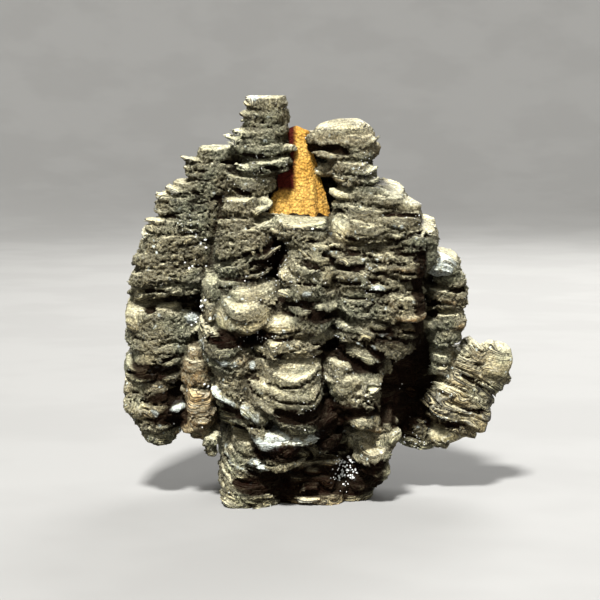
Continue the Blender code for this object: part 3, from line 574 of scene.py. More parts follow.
# %% Store a lobe
def add_lobe(name, slope, rows, ledge, habit, space=None):
    """Store a lobe's ledges, each with its scales."""
    dice = random.Random(zlib.crc32(name.encode()))
    ledges = ledge_sections(rows, ledge, dice)
    shape = [(turns, dice.uniform(SHALLOW_WAVE, WAVE), dice.uniform(0, 2 * math.pi)) for turns in (2, 3, 5)]
    corners = SCALE_CORNERS if slope[1] >= LEANING else STACK_CORNERS
    space = space or sheared(slope, rows)
    across, along = (0.0, 0.0) if habit == "wing" else space[1][:2]
    hidden_from = math.inf if habit in ("rough", "wing") else HIDDEN_DEPTH - along
    way = HABITS["scales" if habit == "wing" else habit]
    warm = WARM.get(name, 0.0)
    scale_dice = random.Random(zlib.crc32((name + " scales").encode()))
    start = scale_dice.uniform(0, 1)
    for low, high, (left, right, front, back) in ledges:
        waves = shape + [(4, dice.uniform(0.0, WAVE), dice.uniform(0, 2 * math.pi))]
        rock = (dice.uniform(-ROCK, ROCK), dice.uniform(-ROCK, ROCK))
        left, right, front, back = left - across, right - across, front - along, back - along
        plates = (way["pitch"], start, scale_dice.uniform(-1, 1), way["strength"], 0.0, warm)
        section = (left, right, front, back)
        form = ledge_form(section, low, high, corners, waves, rock, way["groove"])
        store((left - 1, front - 1, low - 1), (right + 1, back + 1, high + 1), space, form, plates)
        add_scales(scale_dice, (low, high, section), corners, way, start, warm, space, hidden_from)


# %% Store all lobes
for name, slope, rows in CROWN + LEFT_SIDE + MIDDLE + RIGHT_SIDE + BASE:
    add_lobe(name, slope, rows, LEDGE, habit_of(name, slope))
for name, slope, rows in courses:
    add_lobe(name, slope, rows, SHINGLE, "scales")
for name, slope, rows in BACK:
    add_lobe(name, slope, rows, BACK_LEDGE, "rough")
for name, slope, rows in HEART:
    add_lobe(name, slope, rows, HEART_LEDGE, "rough")
for name, place, dip, rows in WING:
    level_out = np.array(Matrix.Rotation(math.radians(-dip), 3, "Y"))
    add_lobe(name, (0.0, 0.0), rows, LEDGE, "wing", (level_out, np.array(place)))
print("forms", len(forms))

# %% [markdown]
# ## The crystal's pocket
# The ochre crystal is a steep six-sided spire. Its corners are the solid model's, and the
# calcite leaves it a pocket with three tenths of a millimetre to spare.

# %% The spire's corners and its pocket
CRYSTAL_FOOT = [(-12.0, -3.2), (1.2, -5.6), (8.2, -0.5), (6.0, 8.0), (-6.0, 9.5), (-14.0, 4.0)]
CRYSTAL_TOP = [(-6.3, 0.6), (-1.0, 0.0), (0.4, 1.6), (-0.4, 4.4), (-4.4, 4.8), (-7.2, 3.0)]
CRYSTAL_FOOT_HEIGHT = 62.0
CRYSTAL_TOP_HEIGHT = 91.6
CRYSTAL_TIP = (-3.2, 2.4, 93.6)
POCKET_GAP = 0.3
NEARLY_TIP = 0.98      # the outline isn't drawn in to a point, which would have no sides


def spire_depth(x, y, z):
    """How deep a place lies inside the spire, with less than zero outside."""
    rise = np.clip((z - CRYSTAL_FOOT_HEIGHT) / (CRYSTAL_TOP_HEIGHT - CRYSTAL_FOOT_HEIGHT), 0, 1)
    tip = np.clip((z - CRYSTAL_TOP_HEIGHT) / (CRYSTAL_TIP[2] - CRYSTAL_TOP_HEIGHT), 0, NEARLY_TIP) ** 2
    ring = [[(foot + (top - foot) * rise) * (1 - tip) + middle * tip
             for foot, top, middle in zip(low, high, CRYSTAL_TIP)]
            for low, high in zip(CRYSTAL_FOOT, CRYSTAL_TOP)]
    depth = np.minimum(z - CRYSTAL_FOOT_HEIGHT, CRYSTAL_TIP[2] + POCKET_GAP - z)
    for (x0, y0), (x1, y1) in zip(ring, ring[1:] + ring[:1]):
        length = np.hypot(x1 - x0, y1 - y0)
        side = ((x1 - x0) * (y - y0) - (y1 - y0) * (x - x0)) / length
        depth = np.minimum(depth, side)
    return depth


print("spire from", CRYSTAL_FOOT_HEIGHT, "to", CRYSTAL_TIP[2], "mm")

# %% [markdown]
# ## Heaping up the field
# Each form adds a share to every cell near it, and the share grows fast with its depth in
# the form. The logarithm of the sum is then a depth again, with soft joins. The same
# shares weigh how the plates lie, so the laminae bend from one form into the next.

# %% Heap forms into a block of cells
SOFT = 0.28            # how softly forms run into each other, in millimetres
SWELL = 0.55           # how much the soft joins swell the stone, which is taken off again
REACH = 1.4            # how far beyond its box a form still matters
OUTMOST, INMOST = -8, 4     # depths beyond these count as these
NOTHING = 1e-9
PLATE_VALUES = ("level", "tone", "strength", "silver", "warm")


def heap_up(low, step, count):
    """The rough field of a block, and the values of its plates."""
    axes = [(low[axis] + step * np.arange(count[axis])).astype(np.float32) for axis in range(3)]
    total = np.full(count, NOTHING, np.float32)
    sums = [np.zeros(count, np.float32) for _ in PLATE_VALUES]
    for first, last, turn, origin, form, (pitch, start, *others) in forms:
        begin = np.clip(np.floor((first - REACH - low) / step).astype(int), 0, count)
        end = np.clip(np.ceil((last + REACH - low) / step).astype(int) + 1, 0, count)
        if np.any(end <= begin):
            continue
        where = tuple(slice(a, b) for a, b in zip(begin, end))
        near = np.ix_(*(axis[cells] for axis, cells in zip(axes, where)))
        place = [axis - np.float32(middle) for axis, middle in zip(near, origin)]
        local = [sum(row[axis] * place[axis] for axis in range(3) if row[axis]) for row in turn]
        depth, height = form(*local)
        share = np.exp(np.clip(depth, OUTMOST, INMOST) / np.float32(SOFT))
        total[where] += share
        for kept, value in zip(sums, (height / pitch + start, *others)):
            kept[where] += share * value
    rough = np.log(total) * SOFT - SWELL
    return axes, rough, [kept / total for kept in sums]


# %% [markdown]
# ## Laminae
# Close up, each ledge is a pile of laminae a millimetre or so thick, with finer ones in
# them. They are laid on as a change of the field's depth that depends on the level of the
# plates: a full rim, then a narrow groove. Each lamina's rim runs in and out in its own
# way, because its number is one of the noise's coordinates. Grain and crumbs come last.

# %% What the laminae add
RIM_HEIGHT = 0.2       # where a lamina stands out most, as a share of its thickness
TOP_BACK = 0.8         # how far its top lies back from there, as a share
RIM_OUT = 1.15         # from the foot of a lamina to its rim, in millimetres
FOOT_IN = 0.75         # how far its foot lies behind the ledge's face
DIP = 0.13             # how much more than the ledges the laminae dip to both sides
DIP_FROM = 4.0         # right of this they dip, from DIP_HEIGHTS up to the window
RISE_TO = -22.0        # left of this they rise to the right
DIP_HEIGHTS = (32, 82)
RISE_HEIGHTS = (52, 82)
FADE = 6


def overhang(part):
    """How far a lamina stands out from its foot, at 0, past its rim to its top, at 1."""
    past_rim = np.clip((part - RIM_HEIGHT) / (1 - RIM_HEIGHT), 0, 1)
    return np.clip(part / RIM_HEIGHT, 0, 1) * (1 - TOP_BACK * past_rim)


def between(z, heights):
    """1 between two heights, and less near them."""
    return np.clip((z - heights[0]) / FADE, 0, 1) * np.clip((heights[1] - z) / FADE, 0, 1)


def bent_level(x, y, z, level):
    """The level of the plates, dipped at both sides and made uneven."""
    level = level + DIP * np.maximum(x - DIP_FROM, 0) * between(z, DIP_HEIGHTS)
    level = level + DIP * np.maximum(RISE_TO - x, 0) * between(z, RISE_HEIGHTS)
    level = level + 0.36 * value_noise(x / 9, y / 9, z / 9, 1)
    return level + 0.12 * value_noise(x / 3.2, y / 3.2, z / 3.2, 2)


def laminate(x, y, z, level, strength):
    """(added depth, bent level of the plates, 1 on a rim and 0 in a groove)."""
    level = bent_level(x, y, z, level)
    number = np.floor(level)
    rim = overhang(level - number)
    parted = 0.7 + 0.6 * value_noise(x / 7, y / 7, number * 2.17, 5)
    added = strength * parted * (RIM_OUT * rim - FOOT_IN)
    # each lamina runs in and out along its length, in long waves and in short ones
    added += strength * 0.6 * value_noise(x / 6.5, y / 6.5, number * 5.31, 3)
    added += 0.13 * value_noise(x / 2.4, y / 2.4, number * 3.7, 4)
    # the finer laminae, two to each
    finer = level * 2.0
    finer_number = np.floor(finer)
    added += 0.26 * strength * (overhang(finer - finer_number) - 0.4)
    added += 0.2 * strength * value_noise(x / 3.2, y / 3.2, finer_number * 1.9, 11)
    # grain, crumbs, and slots where a lamina is missing
    added += 0.06 * value_noise(x / 1.0, y / 1.0, z / 0.8, 6)
    added += 0.2 * np.clip(value_noise(x / 1.4, y / 1.4, z / 1.1, 8) - 0.5, 0, 1)
    added -= 1.4 * strength * np.clip(value_noise(x / 5.5, y / 5.5, level / 0.7, 10) - 0.55, 0, 1)
    return added, level, rim


print("a lamina's overhang at its foot, rim and top", overhang(np.array([0, RIM_HEIGHT, 1])).round(2))

# %% [markdown]
# ## How open a place is
# Dust and light reach the rims and not the clefts. The finish paints a pale highlight on the open
# rims and shade into the clefts, so it has to know how open each place is. A coarse block of the
# whole specimen is blurred with a small and a large box: a place that still has much stone round it lies in
# a cleft.

# %% Blur a coarse block
LOW = np.array([-49.0, -31.0, CUT_HEIGHT - 4.0])
HIGH = np.array([55.0, 33.0, 104.0])
COARSE = 0.9


def box_blur(block, half):
    """Mean over a cube of cells, by running sums along each axis."""
    for axis in range(3):
        padded = np.pad(block, [(half + 1, half) if a == axis else (0, 0) for a in range(3)], mode="edge")
        running = np.cumsum(padded, axis=axis, dtype=np.float64)
        size = block.shape[axis]
        upper = np.take(running, np.arange(size) + 2 * half + 1, axis=axis)
        lower = np.take(running, np.arange(size), axis=axis)
        block = ((upper - lower) / (2 * half + 1)).astype(np.float32)
    return block


def read_block(block, low, step, points):
    """Values of a block at any points, blended from the eight cells round each."""
    place = (points - low) / step
    cell = np.clip(np.floor(place).astype(int), 0, np.array(block.shape) - 2)
    share = np.clip(place - cell, 0, 1).astype(np.float32)
    total = 0
    for corner in itertools.product((0, 1), repeat=3):
        shares = [share[:, axis] if up else 1 - share[:, axis] for axis, up in enumerate(corner)]
        weight = np.prod(shares, axis=0)
        total = total + weight * block[tuple(cell[:, axis] + up for axis, up in enumerate(corner))]
    return total


def coarse_stone():
    """The whole specimen in coarse cells, from 0 in air to 1 in stone, with the spire."""
    count = np.ceil((HIGH - LOW) / COARSE).astype(int)
    axes, rough, _ = heap_up(LOW, COARSE, count)
    rough = np.maximum(rough, spire_depth(*np.ix_(*axes)))
    return np.clip(rough / COARSE + 0.5, 0, 1)


stone = coarse_stone()
print("coarse cells", stone.size, "stone in millilitres", round(float(stone.sum()) * COARSE ** 3 / 1000, 1))

# %% [markdown]
# ## Lips and hollows
# The lobes give the masses, but what makes this specimen itself are its lips: the broken
# front edges of single plates, each with a dark gap under it. They were read off the
# photograph one by one. A row gives the two ends of a lip's middle line (across and down,
# in the photograph's pixels), its thickness and the gap under it (also in pixels), and how
# far it stands out in millimetres. Each lip is laid on the stone that is seen at its
# place, so it holds from every side. They are sorted by how they look. The most common
# ones are laminated: broken edges with thin sheets in them.

# %% Laminated lips of the crown and the left side
LAMINATED = [
    (248, 102, 284, 103, 12, 1, 0.5), (246, 114, 284, 115, 9, 0.5, 0.3),
    (244, 121, 282, 121, 5, 2, 0.6), (236, 132, 285, 130, 7, 1, 0.8), (234, 139, 286, 138, 6, 1, 1),
    (234, 146, 296, 144, 6, 6, 1.4), (242, 156, 299, 158, 7, 8, 1.6), (238, 166, 276, 164, 8, 2, 0.4),
    (231, 177, 279, 184, 11, 9, 1.8), (222, 200, 262, 200, 8, 1.5, 1.2),
    (225, 208, 266, 207, 6, 1.5, 0.8), (226, 216, 268, 217, 7, 1.5, 1.2), (221, 226, 270, 224, 8, 1, 0.8),
    (201, 150, 234, 149, 9, 1, 0.6), (188, 159, 235, 157, 6, 1.5, 0.8), (186, 167, 232, 165, 6, 2, 0.8),
    (190, 175, 230, 174, 7, 1.5, 0.6), (184, 182, 228, 183, 6, 1.5, 0.8), (168, 189, 214, 189, 6, 1.5, 0.8),
    (159, 197, 212, 197, 7, 1.5, 0.9), (158, 205, 212, 204, 6, 1.5, 0.7), (158, 211, 224, 212, 5, 2, 0.9),
    (148, 220, 222, 217, 7, 1.2, 0.9), (144, 227, 175, 231, 7, 1.5, 0.9), (172, 231, 214, 221, 6, 2.5, 0.8),
    (143, 237, 176, 242, 6, 1.5, 0.9), (172, 243, 212, 232, 6, 1.5, 0.7), (142, 246, 178, 250, 7, 1.5, 1),
    (172, 250, 208, 241, 6, 2, 0.9), (140, 254, 175, 257, 7, 1.5, 1.1), (170, 257, 208, 250, 6, 1.5, 0.8),
    (139, 263, 170, 265, 6, 1.5, 1), (165, 266, 209, 258, 6, 1.5, 1), (137, 271, 172, 271, 6, 1.5, 1.1),
    (166, 273, 207, 267, 6, 1.5, 0.8), (137, 278, 176, 279, 5, 1.5, 1), (170, 280, 206, 275, 6, 1.5, 1),
    (140, 284, 203, 283, 5, 4, 1.2), (176, 333, 206, 322, 7, 1.5, 1.2),
    (150, 378, 183, 374, 10, 2, 0.8), (150, 389, 180, 386, 6, 2, 0.6),
    (130, 396, 150, 396, 7, 2, 0.8), (138, 413, 165, 418, 9, 3, 0.8),
]

# %% Laminated lips of the middle
LAMINATED += [
    (268, 229, 300, 234, 7, 2, 0.6), (300, 238, 322, 240, 6, 2, 0.5), (222, 234, 276, 230, 7, 1.2, 0.8),
    (219, 242, 268, 238, 6, 1.5, 0.8), (216, 251, 262, 246, 7, 3.5, 1.2), (240, 258, 279, 249, 6, 3.5, 1.2),
    (216, 264, 262, 261, 5, 2, 0.8), (250, 266, 272, 263, 6, 3, 0.8), (216, 272, 266, 269, 6, 4, 1.2),
    (218, 283, 240, 281, 7, 2, 0.6), (283, 253, 304, 254, 8, 1, 0.5), (280, 262, 305, 262, 8, 1, 0.6),
    (284, 283, 330, 284, 6, 2.5, 1.2), (306, 265, 332, 268, 5, 2, 1), (281, 292, 340, 293, 9, 2, 1),
    (285, 301, 312, 302, 6, 2, 0.8), (285, 309, 310, 311, 4, 3, 0.8), (258, 334, 290, 335, 4, 3, 0.6),
    (291, 333, 312, 327, 8, 3, 1), (252, 346, 300, 344, 9, 3, 1.2), (288, 344, 306, 340, 6, 3, 1),
    (310, 333, 338, 334, 10, 4, 0.8), (278, 404, 312, 404, 6, 8, 1),
    (312, 425, 340, 403, 10, 2, 0.8), (258, 446, 282, 443, 6, 3, 1),
    (262, 456, 276, 460, 4, 3, 0.8), (266, 485, 285, 484, 6, 3, 0.8),
    (286, 474, 312, 488, 10, 3, 1), (240, 495, 262, 499, 9, 1, 0.8),
    (225, 503, 255, 505, 7, 0, 0.5),
]

# %% Laminated lips of the right side
LAMINATED += [
    (310, 138, 376, 139, 6, 0, 1.2), (346, 150, 376, 150, 14, 0, 1.2),
    (342, 160, 372, 158, 8, 1.5, 0.8), (344, 168, 374, 170, 7, 1.5, 0.8), (350, 178, 378, 180, 7, 2, 0.8),
    (331, 204, 360, 206, 7, 3, 1), (358, 208, 388, 212, 9, 2, 0.8),
    (350, 221, 388, 222, 10, 1.5, 0.8), (405, 226, 436, 228, 11, 5, 1),
    (345, 231, 383, 233, 9, 3, 1), (384, 236, 410, 236, 6, 3, 0.8), (352, 244, 380, 246, 8, 2, 0.8),
    (380, 245, 406, 246, 7, 2, 0.8), (404, 244, 432, 242, 5, 3, 0.8), (355, 252, 395, 258, 9, 2, 1),
    (330, 254, 363, 264, 9, 6, 1.4), (398, 252, 424, 250, 5, 3, 0.7), (390, 262, 415, 258, 5, 2, 0.6),
    (362, 266, 396, 268, 6, 3, 0.8), (334, 273, 366, 277, 9, 4, 1), (364, 272, 394, 277, 8, 5, 1),
    (400, 276, 422, 274, 5, 3, 0.6), (342, 290, 374, 291, 9, 2, 1.2), (392, 285, 420, 284, 5, 2.5, 0.7),
    (344, 300, 372, 301, 6, 2, 0.8), (372, 297, 398, 298, 6, 2, 0.8), (340, 310, 370, 313, 6, 2, 0.8),
    (374, 308, 396, 307, 5, 2, 0.8), (332, 322, 370, 327, 9, 3, 1.2),
    (368, 322, 393, 325, 11, 3, 1.2), (342, 333, 374, 337, 6, 3, 1),
    (340, 343, 380, 360, 12, 10, 1.6), (402, 340, 412, 340, 4, 3, 0.8),
    (338, 392, 380, 390, 6, 1, 1), (342, 398, 376, 397, 5, 1, 0.8), (346, 404, 368, 405, 4, 6, 0.8),
    (355, 456, 384, 458, 7, 3, 1), (424, 322, 438, 327, 8, 1, 0.8), (452, 281, 466, 283, 4, 1, 0.6),
    (462, 366, 500, 386, 9, 3, 1.2), (430, 398, 490, 404, 14, 2, 1),
    (338, 422, 350, 432, 5, 2, 0.6),
]

# %% [markdown]
# Other lips hardly show their laminae. Some are granular, some are broad smooth faces like
# the coins and the great plate, and two are blocks, which round off the crowns. The brown
# ones are stained like the tall column at the left.

# %% Smooth and granular lips, with hardly any laminae
GRANULAR = [
    (283, 224, 327, 223, 11, 2, 0.8), (308, 241, 354, 243, 18, 3, 1),
    (283, 272, 330, 274, 12, 1.5, 1), (303, 254, 334, 258, 13, 2, 1.4),
    (306, 306, 338, 304, 7, 6, 1.4), (263, 324, 304, 320, 15, 3, 1.4),
    (262, 303, 279, 299, 5, 2, 0.6), (326, 218, 350, 222, 16, 1, 0.8),
    (333, 193, 384, 193, 11, 1.5, 1.2), (386, 197, 422, 205, 15, 6, 1.4),
    (309, 167, 344, 168, 12, 1, 8), (332, 366, 380, 386, 16, 1, 1),
    (352, 441, 394, 434, 20, 2, 1.2), (139, 303, 163, 302, 8, 1, 0.8),
    (126, 312, 146, 312, 22, 0, 0.6), (130, 327, 166, 328, 12, 1.5, 1),
    (154, 316, 178, 312, 20, 0, 1.2), (150, 343, 180, 346, 9, 2, 0.8),
    (437, 314, 456, 315, 9, 1.5, 1), (424, 432, 460, 430, 12, 0, 1),
    (210, 285, 222, 290, 14, 0, 0.3), (388, 425, 397, 436, 8, 1, 0.6),
    (330, 484, 352, 487, 8, 0, 0.6), (352, 486, 364, 486, 8, 0, 0.8),
    (380, 472, 390, 468, 16, 0, 0.5), (485, 350, 508, 358, 22, 0, 0.6),
]
BROAD = [
    (238, 302, 283, 290, 36, 0, 1.6), (214, 318, 262, 314, 28, 0, 1.4),
    (264, 324, 303, 320, 20, 0, 1.6), (262, 371, 317, 368, 31, 0, 1.6),
    (276, 395, 319, 391, 14, 0, 2), (248, 382, 274, 394, 18, 0, 1),
    (284, 262, 312, 262, 20, 0, 1), (304, 258, 332, 262, 17, 0, 1.6),
    (284, 275, 328, 279, 15, 0, 1.2), (326, 372, 352, 388, 16, 0, 1.2),
    (350, 442, 394, 440, 19, 0, 1.6), (306, 305, 337, 303, 9, 0, 1.6),
    (388, 199, 422, 208, 18, 0, 1.4), (330, 226, 356, 232, 20, 0, 1.2),
    (126, 316, 150, 316, 26, 0, 0.8), (150, 312, 180, 312, 24, 0, 1.2),
    (126, 400, 150, 408, 24, 0, 0.8), (424, 432, 462, 428, 16, 0, 1.2),
    (482, 356, 510, 366, 26, 0, 1), (434, 312, 458, 314, 12, 0, 1.2),
]
BLOCKS = [
    (253, 109, 285, 110, 27, 0, 0.8), (314, 138, 373, 137, 31, 0, 1.4),
]
BROWN = [
    (177, 300, 200, 302, 10, 1, 0.8), (186, 372, 209, 372, 24, 0, 0.5),
    (230, 355, 252, 357, 14, 0, 0.4), (150, 398, 166, 394, 8, 3, 0.8),
    (394, 267, 421, 267, 7, 3, 1.2), (395, 303, 418, 297, 8, 3, 1.2), (396, 315, 425, 315, 9, 4, 1.4),
    (402, 327, 416, 327, 7, 3, 1.2), (428, 287, 452, 286, 14, 1, 0.6),
    (446, 298, 466, 302, 10, 1, 0.6), (454, 324, 466, 325, 12, 1, 0.6),
    (440, 332, 455, 332, 18, 1, 0.8), (426, 356, 450, 354, 12, 2, 0.8),
    (370, 424, 384, 426, 8, 1.5, 0.8), (378, 418, 394, 412, 14, 0, 0.6),
    (168, 430, 180, 428, 5, 0, 0.5),
]

# %% [markdown]
# Some lips have a silvery skin of smooth calcite, which catches the light. The finish makes them less rough
# and paints a silver-white highlight on them.

# %% Silvery lips
SILVERY = [
    (251, 98, 276, 99, 7, 0, 0.5), (248, 115, 266, 116, 5, 0, 0.4), (237, 189, 250, 187, 4, 2, 0.9),
    (228, 219, 247, 218, 5, 0, 1.4), (386, 224, 409, 228, 11, 2, 1),
    (368, 287, 392, 287, 7, 2.5, 1.2), (300, 293, 312, 293, 8, 0, 1.2), (374, 333, 399, 336, 7, 4, 1),
    (370, 344, 400, 358, 8, 8, 1.4), (431, 262, 462, 266, 22, 1, 0.6),
    (204, 340, 236, 366, 13, 2, 1.4), (244, 364, 262, 366, 9, 1, 1.2),
    (218, 386, 244, 387, 18, 1, 0.8), (212, 390, 240, 406, 6, 3, 1.8),
    (240, 404, 262, 423, 11, 2, 1.8), (254, 436, 290, 437, 12, 4, 2.6),
    (256, 441, 318, 431, 15, 6, 5), (250, 460, 270, 466, 7, 3, 2.4),
    (225, 446, 244, 470, 9, 2, 1.6), (146, 404, 162, 411, 5, 2, 1), (160, 411, 186, 403, 6, 3, 1.2),
    (172, 414, 183, 413, 5, 3, 0.8), (158, 371, 172, 362, 3, 0, 0.6),
    (177, 316, 202, 316, 12, 1, 1), (130, 384, 150, 386, 12, 2, 0.6),
    (432, 409, 474, 422, 6, 6, 1.2), (145, 229, 158, 231, 4, 0, 1.1), (138, 256, 146, 257, 5, 0, 0.8),
    (374, 303, 388, 303, 4, 1, 1), (238, 322, 252, 318, 4, 0, 0.8), (499, 362, 509, 361, 6, 0, 0.8),
]

# %% [markdown]
# The hollows are rows of the same kind, with a height in pixels and a depth in millimetres.

# %% Dark hollows
HOLLOWS = [
    (318, 180, 346, 179, 7, 7), (268, 168, 298, 166, 8, 7), (136, 291, 165, 293, 6, 5),
    (163, 298, 170, 303, 6, 4), (144, 313, 155, 313, 12, 5), (198, 317, 204, 308, 8, 4),
    (190, 290, 207, 297, 9, 4), (127, 372, 152, 373, 8, 5), (150, 369, 178, 355, 9, 5),
    (164, 396, 185, 394, 10, 4), (160, 419, 187, 421, 8, 5), (215, 340, 262, 330, 12, 6),
    (303, 318, 336, 318, 13, 6), (310, 346, 342, 348, 10, 6), (260, 270, 281, 269, 7, 4),
    (272, 243, 286, 243, 7, 4), (268, 256, 282, 255, 4, 3), (280, 415, 314, 418, 12, 7),
    (215, 413, 240, 413, 11, 5), (255, 428, 270, 428, 4, 4), (264, 197, 294, 172, 22, 9),
    (282, 182, 296, 176, 14, 9), (266, 452, 320, 452, 17, 8), (322, 411, 378, 412, 10, 6),
    (318, 430, 340, 428, 20, 5), (234, 484, 262, 486, 10, 5), (418, 305, 445, 305, 9, 6),
    (425, 315, 438, 316, 10, 6), (454, 292, 466, 292, 9, 4), (162, 216, 178, 216, 6, 5),
    (212, 199, 227, 197, 9, 4), (225, 163, 233, 163, 4, 3), (189, 163, 196, 163, 3, 2.5),
    (192, 171, 201, 172, 4, 3), (191, 178, 198, 178, 3, 2.5), (193, 195, 201, 195, 4, 2.5),
    (220, 218, 227, 219, 4, 3), (236, 155, 264, 153, 6, 4), (235, 165, 242, 165, 6, 4),
    (463, 373, 498, 388, 3, 5), (430, 418, 462, 428, 8, 6), (470, 413, 486, 411, 8, 4),
    (387, 216, 426, 217, 5, 3), (408, 238, 431, 238, 4, 3), (335, 267, 361, 268, 6, 3),
]

# %% [markdown]
# The deepest shadows lie under the rims of the broad faces and follow them in curves. Each
# row here is a curve of points in the photograph's pixels, then its height in pixels and
# its depth in millimetres.

# %% Undercuts
UNDERCUTS = [
    ([(302, 145), (322, 149), (346, 152)], 12, 6), ([(340, 153), (361, 157)], 6, 4),
    ([(222, 260), (238, 257), (256, 252), (270, 247), (282, 243)], 4, 4),
    ([(262, 263), (272, 262), (281, 257)], 4, 4), ([(252, 272), (266, 272), (281, 269)], 7, 5),
    ([(222, 279), (240, 278), (262, 275), (275, 272)], 4, 4), ([(278, 243), (290, 243)], 6, 5),
    ([(300, 233), (325, 232)], 3, 2.5), ([(302, 243), (316, 244)], 3, 2.5),
    ([(330, 250), (345, 252), (360, 256), (372, 259)], 5, 4),
    ([(325, 257), (335, 263), (350, 268), (365, 268)], 7, 5),
    ([(305, 263), (312, 268), (321, 270)], 3, 2.5), ([(328, 279), (340, 283), (356, 286)], 5, 4),
    ([(282, 282), (300, 286), (320, 289), (335, 287)], 3, 3),
    ([(285, 303), (300, 306), (312, 308)], 5, 4), ([(283, 312), (300, 316)], 4, 4),
    ([(306, 318), (336, 318)], 13, 7),
    ([(210, 341), (228, 340), (245, 333), (262, 326), (276, 317)], 6, 5),
    ([(284, 308), (284, 296)], 4, 3), ([(264, 304), (275, 301)], 3, 2.5),
    ([(216, 344), (240, 341), (262, 336)], 13, 7), ([(262, 335), (275, 335), (289, 333)], 5, 4),
    ([(275, 341), (290, 340), (301, 337)], 4, 4), ([(254, 357), (275, 357), (291, 354)], 5, 4.5),
    ([(312, 345), (340, 349)], 13, 7), ([(336, 355), (350, 362), (374, 374)], 8, 6),
    ([(275, 411), (290, 416), (304, 418), (318, 414)], 9, 7), ([(218, 413), (238, 414)], 9, 5),
    ([(254, 374), (264, 384), (280, 388), (296, 388), (310, 383), (319, 372)], 2.5, 2),
    ([(262, 396), (276, 403), (296, 404), (312, 401), (324, 392)], 2.5, 2.5),
    ([(262, 453), (290, 453), (318, 451)], 15, 8), ([(340, 409), (378, 409)], 8, 6),
    ([(322, 428), (346, 428)], 22, 8), ([(320, 448), (346, 450)], 18, 7),
    ([(236, 485), (262, 486)], 10, 5), ([(254, 428), (272, 428)], 4, 4),
    ([(350, 466), (372, 468), (392, 464)], 7, 4), ([(318, 398), (322, 380), (322, 360)], 3, 2),
    ([(248, 374), (250, 388), (258, 398)], 3, 2.5), ([(246, 470), (262, 476), (280, 474)], 6, 4),
    ([(266, 493), (290, 492), (330, 490)], 8, 5),
]

# %% [markdown]
# Some places are darker or paler than their neighbours, whatever their shape: the recesses
# get painted shade, and a few faces get painted light. A row is the middle of such a place (across
# and down), its half width and half height, all in pixels, and how much darker it is. Less
# than 0 is paler.

# %% Places with painted shade and painted light
# across, down, half width and half height in pixels, and how much darker; less than 0 is paler
PAINTED_SHADE_AND_LIGHT = [
    (402, 385, 26, 46, 0.5), (396, 340, 24, 14, 0.2), (334, 432, 17, 28, 0.5), (290, 454, 30, 9, 0.5),
    (358, 480, 40, 18, 0.4), (300, 482, 42, 16, 0.3), (250, 487, 15, 8, 0.4), (421, 300, 7, 60, 0.4),
    (228, 414, 14, 8, 0.4), (297, 418, 22, 9, 0.4), (150, 373, 22, 8, 0.5), (166, 398, 18, 6, 0.4),
    (172, 420, 20, 10, 0.4), (240, 339, 26, 8, 0.4), (320, 318, 18, 7, 0.4), (328, 348, 18, 7, 0.4),
    (362, 369, 22, 7, 0.3), (388, 407, 16, 20, 0.4), (272, 258, 12, 16, 0.3), (350, 412, 34, 7, 0.3),
    (327, 168, 15, 7, -0.5), (308, 272, 24, 22, -0.2), (300, 436, 16, 6, -0.3), (290, 368, 24, 14, -0.1),
    (446, 262, 16, 12, -0.2), (448, 330, 18, 32, -0.25), (372, 440, 22, 10, -0.2), (268, 106, 20, 10, -0.1),
    (460, 395, 40, 24, -0.1), (285, 395, 24, 6, -0.1), (320, 304, 16, 4, -0.2), (358, 384, 20, 10, -0.15),
    (380, 222, 24, 6, -0.15),
]

# %% [markdown]
# To lay a lip on the stone, a line of sight is followed from the eye through the coarse
# block until it meets stone. Where it misses, near the outline, the place takes the depth
# of the lip's middle.

# %% Where a pixel of the photograph meets the stone
STEP_OF_SIGHT = 0.25
NEAREST, FURTHEST = 440.0, 520.0     # from the eye, in millimetres
SAME_FORM = 7.0        # points further apart in depth belong to different forms
PIXEL = FRAME_WIDTH / PHOTO_WIDTH / MM     # one pixel at the specimen, in millimetres


def seen_at(across, down, missed=None):
    """The point of the stone that is seen at a pixel, or the one at the depth given."""
    start, way = sight_line(across, down)
    far = np.arange(NEAREST, FURTHEST, STEP_OF_SIGHT)
    path = start + far[:, None] * way
    inside = read_block(stone, LOW, COARSE, path) > 0.5
    if inside.any():
        hit = path[np.argmax(inside)]
        if missed is None or abs(hit[1] - missed) < SAME_FORM:
            return hit
    if missed is None:
        return None
    return start + way * (missed - start[1]) / way[1]


print("the photograph's middle meets", np.round(seen_at(PHOTO_WIDTH / 2, PHOTO_WIDTH / 2), 1))

# %% Spread the painted shade and light
PAINTED_PLACE_DEEP = 7.0       # how far a painted place reaches in depth
PAINTED_PLACE_EDGE = 1.5       # where it has faded out, as a share of its half width and height
PAINTED_PLACE_DEPTH_EDGE = 1.6
painted_shade_and_light = [(seen_at(across, down), wide * PIXEL, tall * PIXEL, darker)
          for across, down, wide, tall, darker in PAINTED_SHADE_AND_LIGHT]


def painted_shade_and_light_at(points):
    """How much darker the places with painted shade are, and how much paler those with painted light, at
    points of the surface.
    """
    total = np.zeros(len(points))
    for middle, wide, tall, darker in painted_shade_and_light:
        away = np.hypot((points[:, 0] - middle[0]) / wide, (points[:, 2] - middle[2]) / tall)
        behind = np.abs(points[:, 1] - middle[1]) / PAINTED_PLACE_DEEP
        total += darker * np.clip(PAINTED_PLACE_EDGE - away, 0, 1) * np.clip(PAINTED_PLACE_DEPTH_EDGE - behind, 0, 1)
    return total


print("painted_shade_and_light", len(painted_shade_and_light))

# %% [markdown]
# A lip and a hollow are the same form, a lens. Its middle line runs between the two places
# that the row's pixels meet, it is as deep as a lip of its kind, and it droops to the
# front. A lip is stored like a scale, and a hollow is kept in a list of its own.

# %% A lens between two pixels
HOLLOW_PILLOW = 1.6    # a hollow tapers to its ends
STEEP = 0.9            # rise along a lip from which it stands upright
END_REACH = 0.6        # how far a lens reaches past its two ends
LENS_SPARE = 0.3       # spare room in the box round a lens


